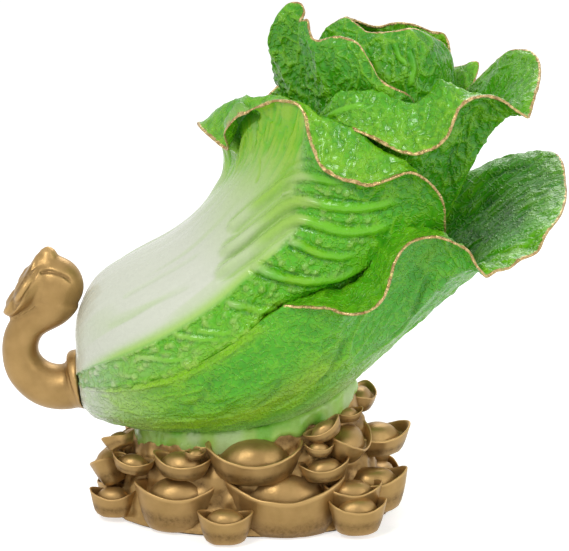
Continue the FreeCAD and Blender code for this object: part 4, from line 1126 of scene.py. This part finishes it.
def core_material():
    """The core: pale resin that turns green toward the heart's opening."""
    nodes = Nodes("core_resin")
    speck = nodes.noise(core_speck_size, 5.0)
    split = nodes.node("ShaderNodeSeparateXYZ", Vector=nodes.coordinates())
    share = nodes.ramp(split.outputs["X"], core_green_start * METRES, core_green_end * METRES)
    pale = nodes.mix(nodes.ramp(speck, 0.3, 0.7, 0.0, 0.3), solid(stalk_white), solid(stalk_white * 0.8))
    green = nodes.mix(nodes.ramp(speck, 0.3, 0.7, 0.0, 0.5), solid(leaf_green * 0.8), solid(deep_green))
    return nodes.finish(Base_Color=nodes.mix(share, pale, green), Roughness=0.5,
                        Normal=nodes.bump(speck, 0.4, core_bump))


def set_material(piece, material):
    piece.data.materials.clear()
    piece.data.materials.append(material)


# Ingots

ingot_columns = 96
hull_width_share = 0.62
end_rise_share = 0.14
end_rise_power = 1.8
rim_sag_share = 0.05
raised_share = 0.55
shallow_share = 0.62
ingot_wave, ingot_wave_size = 0.25, 6.0
ingot_dent, ingot_dent_size = 0.22, 4.0
# Rows of the ingot's section: share of the outline, height and how far the height follows the rim
ingot_rows = (
    (0.0, -0.50, 0), (0.40, -0.50, 0), (0.60, -0.485, 0), (0.70, -0.45, 0.05), (0.78, -0.38, 0.15),
    (0.85, -0.28, 0.35), (0.91, -0.18, 0.6), (0.955, -0.09, 0.8), (0.985, -0.035, 0.95),
    (1.0, -0.012, 1.0), (1.0, 0.0, 1.0), (0.985, 0.012, 1.0), (0.955, 0.014, 1.0), (0.93, 0.006, 1.0),
    (0.915, -0.012, 1.0), (0.90, -0.04, 0.9), (0.88, -0.075, 0.6), (0.85, -0.105, 0.4),
    (0.80, -0.125, 0.2), (0.76, -0.12, 0.1), (0.735, -0.09, 0), (0.71, -0.05, 0), (0.66, -0.005, 0),
    (0.58, 0.04, 0), (0.48, 0.075, 0), (0.36, 0.10, 0), (0.22, 0.115, 0), (0.10, 0.12, 0), (0.0, 0.121, 0))


def ingot_points(row, number):
    """Oval boat with raised ends, a thin rim and a dome in its hollow, turned into place."""
    x_share, y_share, z_share, size_share, turn, nod, lean = row
    angle = np.linspace(0.0, 2 * math.pi, ingot_columns, endpoint=False)
    x = np.sign(np.cos(angle)) * np.abs(np.cos(angle)) ** 0.92
    y = np.sign(np.sin(angle)) * np.abs(np.sin(angle)) ** 1.12
    rows = []
    for wide, high, follow in ingot_rows:
        inner = 1.0 - 0.10 * smooth((1.0 - wide) / 0.5) if high > -0.2 and wide < 0.9 else 1.0
        flat = np.stack((x * wide / 2 * inner, y * wide * hull_width_share / 2, x * 0 + high), -1)
        if z_share > raised_share and high < 0:
            flat[:, 2] *= shallow_share
        flat[:, 2] += follow * (end_rise_share * np.abs(flat[:, 0] * 2) ** end_rise_power - rim_sag_share)
        rows.append(flat)
    points = np.stack(rows) * ingot_length * size_share
    points[..., 2] += ingot_wave * noise(points, ingot_wave_size, number)
    dents = np.stack([noise(points, ingot_dent_size, number + axis) for axis in range(3)], -1)
    points = points + ingot_dent * dents
    points = points @ np.array(Euler([math.radians(value) for value in (nod, lean, turn)]).to_matrix()).T
    points = points + np.array((base_half_length * x_share, base_half_depth * y_share, pile_height * z_share))
    points[..., 2] = np.maximum(points[..., 2], felt_thickness)
    return points


def dressed_ingot(row, number):
    """One ingot with its crevices marked for painted shade and its rim marked for brighter paint, partly wear
    and partly painted highlight.
    """
    points = ingot_points(row, number)
    row_count = len(ingot_rows)
    rows, columns = np.meshgrid(np.arange(1, row_count - 2), np.arange(ingot_columns), indexing="ij")
    after = (columns + 1) % ingot_columns
    below, above = rows * ingot_columns, (rows + 1) * ingot_columns
    quads = np.stack((below + columns, below + after, above + after, above + columns), -1).reshape(-1, 4)
    flat = points[1:-1].reshape(-1, 3)
    ends = np.stack((points[0].mean(axis=0), points[-1].mean(axis=0)))
    quads = quads - ingot_columns
    column = np.arange(ingot_columns)
    following = (column + 1) % ingot_columns
    last = (row_count - 3) * ingot_columns
    low = np.stack((np.full(ingot_columns, len(flat)), following, column), -1)
    high = np.stack((np.full(ingot_columns, len(flat) + 1), last + column, last + following), -1)
    piece = new_mesh("dressed_ingot_%02d" % number, np.vstack((flat, ends)), [quads, low, high])
    # Painted shade in the hollow inside the rim and low on the hull; the rim top gets brighter paint, partly
    # wear and partly painted highlight
    shade = np.array([smooth((1.0 - abs(wide - 0.83) / 0.10)) if high < 0 and 0.7 < wide < 0.93 else 0.0
                      for wide, high, follow in ingot_rows])
    bright = np.array([1.0 if wide > 0.9 and high > -0.03 else 0.0 for wide, high, follow in ingot_rows])
    add_numbers(piece, "crevice", np.append(np.repeat(shade[1:-1], ingot_columns), (0.0, 0.0)))
    add_numbers(piece, "worn", np.append(np.repeat(bright[1:-1], ingot_columns), (0.0, 0.0)))
    return piece


gold_patch_size = 11.0
shade_mottle_size = 2.2
gold_grain_size = 1.1
gold_bump = 0.35


def ingot_material():
    """Antique gold paint: painted shade in the crevices, and brighter edges that are partly worn paint and
    partly painted highlight.
    """
    nodes = Nodes("antique_gold")
    crevice, edge = nodes.number("crevice"), nodes.number("worn")
    worn = nodes.noise(gold_patch_size, 3.0)
    shade_mottle = nodes.noise(shade_mottle_size, 6.0, 0.7)
    colour = nodes.mix(nodes.ramp(worn, 0.2, 0.8, 0.2, 0.8), solid(gold_mid), solid(gold_light))
    # Brighter edges: partly worn paint, partly painted highlight
    colour = nodes.mix(nodes.math("MULTIPLY", edge, 0.7), colour, solid(gold_light * 1.15))
    # Painted shade: dark gold in the crevices, mottled by noise
    painted_crevice_shade = nodes.math("MULTIPLY", crevice, nodes.ramp(shade_mottle, 0.3, 0.6, 0.95, 0.5))
    colour = nodes.mix(painted_crevice_shade, colour, solid(gold_dark))
    skin = nodes.bump(nodes.noise(gold_grain_size, 4.0), 0.22, gold_bump)
    rough = nodes.ramp(worn, 0.2, 0.8, 0.34, 0.48)
    return nodes.finish(Base_Color=colour, Metallic=0.65, Roughness=rough, Normal=skin)


# Pieces grown from the CAD pieces' own meshes

def mesh_arrays(mesh):
    """Vertices and triangles of a mesh."""
    flat = np.empty(len(mesh.vertices) * 3, np.float32)
    mesh.vertices.foreach_get("co", flat)
    mesh.calc_loop_triangles()
    corners = np.empty(len(mesh.loop_triangles) * 3, np.int32)
    mesh.loop_triangles.foreach_get("vertices", corners)
    return flat.reshape(-1, 3), corners.reshape(-1, 3)


def node_mesh(names):
    """Vertices in mm and triangles of some CAD pieces together."""
    points, faces, count = [], [], 0
    for name in names:
        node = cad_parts[name]
        flat, corners = mesh_arrays(node.data)
        turn = np.array(node.matrix_world)
        points.append((flat @ turn[:3, :3].T + turn[:3, 3]) / METRES)
        faces.append(corners + count)
        count = count + len(flat)
    return np.vstack(points), np.vstack(faces)


def remeshed(names, voxel):
    """One even skin around some CAD pieces, as points in mm and triangles."""
    points, faces = node_mesh(names)
    source = new_mesh("remesh_source", points, [faces])
    modifier = source.modifiers.new("remesh", "REMESH")
    modifier.mode = "VOXEL"
    modifier.voxel_size = voxel * METRES
    graph = bpy.context.evaluated_depsgraph_get()
    mesh = bpy.data.meshes.new_from_object(source.evaluated_get(graph))
    flat, corners = mesh_arrays(mesh)
    old = source.data
    bpy.data.objects.remove(source)
    bpy.data.meshes.remove(old)
    bpy.data.meshes.remove(mesh)
    return flat.astype(float) / METRES, corners


def relaxed(points, faces, rounds, share=0.5):
    """Points moved toward the mean of their neighbours a number of times."""
    starts = np.concatenate((faces[:, 0], faces[:, 1], faces[:, 2], faces[:, 1], faces[:, 2], faces[:, 0]))
    ends = np.concatenate((faces[:, 1], faces[:, 2], faces[:, 0], faces[:, 0], faces[:, 1], faces[:, 2]))
    count = np.maximum(np.bincount(starts, minlength=len(points)), 1)
    for turn in range(rounds):
        total = np.stack([np.bincount(starts, points[ends, axis], len(points)) for axis in range(3)], -1)
        points = mix(points, total / count[:, None], share)
    return points


def point_normals(points, faces):
    """Unit normal at each point of a triangle mesh."""
    corner = points[faces]
    across = np.cross(corner[:, 1] - corner[:, 0], corner[:, 2] - corner[:, 0])
    total = np.stack([np.bincount(faces.ravel(), np.repeat(across[:, axis], 3), len(points))
                      for axis in range(3)], -1)
    return unit(total)


hook_voxel = 0.7
# Rounds of smoothing: of the skin, to find what to fill and to find crevices
hook_rounds, hook_fill_rounds, hook_mark_rounds = 14, 60, 12
hook_fill = 1.4
hook_swell = 0.30
hook_swell_size = 14.0
hook_hollow = 0.30
hook_edge = 0.25
crest_drop = 5.0
crest_reach = 5.0
crest_swell = 1.0
crest_cut = 3.0
crest_squeeze = 0.55
hook_nodes = ("hook_stem", "hook_collar", "hook_head", "hook_cloud_plate", "hook_scroll_lower",
              "hook_scroll_front", "hook_scroll_rear", "hook_crest")


def dressed_hook():
    """The curled stem as one smooth casting with softened joins."""
    points, faces = remeshed(hook_nodes, hook_voxel)
    points = relaxed(points, faces, hook_rounds)
    normals = point_normals(points, faces)
    hollow = np.sum((relaxed(points, faces, hook_fill_rounds) - points) * normals, axis=-1)
    points = points + normals * (hook_fill * np.maximum(hollow, 0.0))[:, None]
    crest = points[np.argmax(points[:, 2])] - np.array((0.0, 0.0, crest_drop))
    above = np.maximum(points[:, 2] - (crest[2] + crest_drop - crest_cut), 0.0)
    points[:, 2] -= crest_squeeze * above
    near_crest = np.exp(-(np.linalg.norm(points - crest, axis=1) / crest_reach) ** 2)
    swell = hook_swell * noise(points, hook_swell_size, 61) + crest_swell * near_crest
    points = points + normals * swell[:, None]
    normals = point_normals(points, faces)
    carved, member, passed = vein_relief(points, stroke_lines(VEINS["hook"], "outer", points, normals))
    points = points + normals * carved[:, None]
    piece = new_mesh("dressed_hook", points, [faces])
    # Painted shade in the hollows and carved grooves; brighter paint on the rounded parts, partly wear and
    # partly painted highlight
    deep = relaxed(points, faces, hook_mark_rounds)
    hollow = np.sum((deep - points) * point_normals(points, faces), axis=-1)
    crevice = np.maximum(smooth(hollow / hook_hollow), np.maximum(-member, 0.0))
    add_numbers(piece, "crevice", 0.8 * crevice)
    add_numbers(piece, "worn", smooth(-hollow / hook_edge - 0.2))
    return piece


mound_voxel = 1.3
mound_rounds = 2
clod_height, clod_size = 1.1, 9.0
crumb_height, crumb_size = 0.8, 3.6
mound_sink = 0.5
mound_lift = 3.0
mound_hollow, mound_edge = 1.4, 1.2


def dressed_mound():
    """Rough crumbled gold ground between the ingots."""
    points, faces = remeshed(("base_mound",), mound_voxel)
    points = relaxed(points, faces, mound_rounds)
    normals = point_normals(points, faces)
    rough = clod_height * noise(points, clod_size, 71) + crumb_height * noise(points, crumb_size, 72)
    rough = rough - mound_sink
    lifted = ease(points[:, 2], felt_thickness, mound_lift)
    piece_points = points + normals * (rough * lifted)[:, None]
    piece = new_mesh("dressed_mound", piece_points, [faces])
    # Painted shade in the low places of the crumbled ground, brighter paint on its high places, partly wear
    # and partly painted highlight
    add_numbers(piece, "crevice", smooth(-rough / mound_hollow))
    add_numbers(piece, "worn", smooth(rough / mound_edge - 0.4))
    return piece


saddle_voxel = 1.0
saddle_rounds = 3
wave_height, wave_size = 0.9, 6.0
ripple_height, ripple_size = 0.5, 2.5
skirt_patch_size = 7.0
far_from_rim = 50.0
skirt_swell = 1.2
skirt_low = 42.0
drip_length = 8.0
drip_size = 8.0
skirt_rise = 8.0


def dressed_saddle():
    """Uneven pale skirt of paint where the cabbage sits on the pile."""
    points, faces = remeshed(("belly_saddle",), saddle_voxel)
    points = relaxed(points, faces, saddle_rounds)
    normals = point_normals(points, faces)
    drips = wave_height * noise(points * np.array((1.0, 1.0, 0.35)), wave_size, 81)
    drips = drips + ripple_height * noise(points, ripple_size, 82)
    drips = drips + skirt_swell * ease(points[:, 2], skirt_low, skirt_rise)
    lowness = smooth((0.4 - normals[:, 2]) * 1.4)
    fall = smooth(0.3 + noise(points * np.array((1.0, 1.0, 0.0)), drip_size, 84)) * drip_length
    places = points + normals * drips[:, None] - np.array((0.0, 0.0, 1.0)) * (lowness * fall)[:, None]
    piece = new_mesh("dressed_saddle", places, [faces])
    patch = noise(points, skirt_patch_size, 83)
    paint = coats(np.ones((len(points), 3)) * stalk_green, (
        (lip_green, 0.6),
        (stalk_white, 0.35 * smooth(patch * 1.5)),
        (leaf_green, 0.5 * smooth(-patch * 1.5))))
    add_paint(piece, "paint", paint)
    add_numbers(piece, "blade", np.zeros(len(points)))
    add_numbers(piece, "rim_run", np.full(len(points), far_from_rim))
    return piece


# Camera, floor and light

def make_camera():
    place, right, up, forward = camera_axes()
    data = bpy.data.cameras.new("camera")
    data.sensor_width = sensor_width
    data.lens = sensor_width * view_distance / (image_width * pixel_size)
    data.clip_end = view_limit * METRES
    camera = bpy.data.objects.new("camera", data)
    camera.location = place * METRES
    camera.rotation_euler = (math.radians(90.0 - view_elevation), 0.0, 0.0)
    bpy.context.scene.collection.objects.link(camera)
    bpy.context.scene.camera = camera


floor_half_length = 3000.0
floor_glow = 0.60


def make_floor():
    """Pale floor that shows white to the camera, glass and metal but keeps the shadow."""
    corners = [(x * floor_half_length, y * floor_half_length, 0.0)
               for x, y in ((-1, -1), (1, -1), (1, 1), (-1, 1))]
    floor = new_mesh("floor", corners, [np.array(((0, 1, 2, 3),))], False)
    nodes = Nodes("pale_floor")
    path = nodes.node("ShaderNodeLightPath").outputs
    seen = nodes.math("MAXIMUM", nodes.math("MAXIMUM", path["Is Camera Ray"], path["Is Glossy Ray"]),
                      path["Is Transmission Ray"])
    nodes.finish(Base_Color=(0.80, 0.80, 0.80, 1.0), Roughness=0.8, Specular_IOR_Level=0.0,
                 Emission_Color=(1.0, 1.0, 1.0, 1.0),
                 Emission_Strength=nodes.math("MULTIPLY", seen, floor_glow))
    set_material(floor, nodes.material)


lamp_aim = (0.0, 0.0, 110.0)
# Lamps: name, place and size in mm, power in watts
LAMPS = (
    ("key", (-500.0, -900.0, 1100.0), 380.0, 7.0), ("fill", (900.0, -700.0, 500.0), 800.0, 3.0),
    ("back", (200.0, 900.0, 900.0), 700.0, 4.0))


def make_lamp(name, place, size, power):
    data = bpy.data.lights.new(name, "AREA")
    data.shape = "DISK"
    data.size = size * METRES
    data.energy = power
    lamp = bpy.data.objects.new(name, data)
    lamp.location = Vector(place) * METRES
    aim = Vector(lamp_aim) - Vector(place)
    lamp.rotation_euler = aim.to_track_quat("-Z", "Y").to_euler()
    bpy.context.scene.collection.objects.link(lamp)


world_strength = 0.50


def make_world():
    """Soft light all round, white where it is seen directly, in gloss or through glass."""
    world = bpy.data.worlds.new("studio")
    world.use_nodes = True
    tree = world.node_tree
    background = tree.nodes["Background"]
    path = tree.nodes.new("ShaderNodeLightPath")
    seen = path.outputs["Is Camera Ray"]
    for kind in ("Is Transmission Ray", "Is Glossy Ray"):
        larger = tree.nodes.new("ShaderNodeMath")
        larger.operation = "MAXIMUM"
        tree.links.new(seen, larger.inputs[0])
        tree.links.new(path.outputs[kind], larger.inputs[1])
        seen = larger.outputs[0]
    strength = tree.nodes.new("ShaderNodeMapRange")
    tree.links.new(seen, strength.inputs["Value"])
    strength.inputs["To Min"].default_value = world_strength
    strength.inputs["To Max"].default_value = 1.0
    tree.links.new(strength.outputs["Result"], background.inputs["Strength"])
    background.inputs["Color"].default_value = (1.0, 1.0, 1.0, 1.0)
    bpy.context.scene.world = world


felt_speck_size = 0.6
steel_speck_size = 1.0


def dress_nodes():
    """Materials of the CAD pieces that stay."""
    finishes = {
        "cabbage_core": core_material(),
        "felt_pad": plain_material("felt", linear(70, 74, 66), 0.95, felt_speck_size),
    }
    steel = plain_material("pin_steel", linear(180, 181, 183), 0.3, steel_speck_size, 1.0)
    finishes.update(locating_pin_left=steel, locating_pin_right=steel)
    for name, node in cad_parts.items():
        if name in finishes:
            set_material(node, finishes[name])


def dress(piece, material, slot, *nodes):
    """Give a piece its material, hang it under the root and hide the nodes it stands for."""
    set_material(piece, material)
    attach(piece, "root")
    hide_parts(*nodes)


def main():
    bpy.context.scene.view_settings.view_transform = "Standard"
    make_camera()
    make_floor()
    make_world()
    for lamp in LAMPS:
        make_lamp(*lamp)
    dress_nodes()
    lacquer = leaf_material()
    for name in LEAVES:
        slot = "heart_green" if name.startswith("heart") else "leaf_green"
        dress(dressed_leaf(name), lacquer, slot, name)
    dress(dressed_saddle(), lacquer, "saddle_green", "belly_saddle")
    gold = ingot_material()
    dress(dressed_hook(), gold, "hook_gold", *hook_nodes)
    dress(dressed_mound(), gold, "mound_gold", "base_mound")
    for number, row in enumerate(INGOTS, 1):
        dress(dressed_ingot(row, number), gold, "ingot_gold", "ingot_%02d" % number)


main()
bpy.context.view_layer.update()
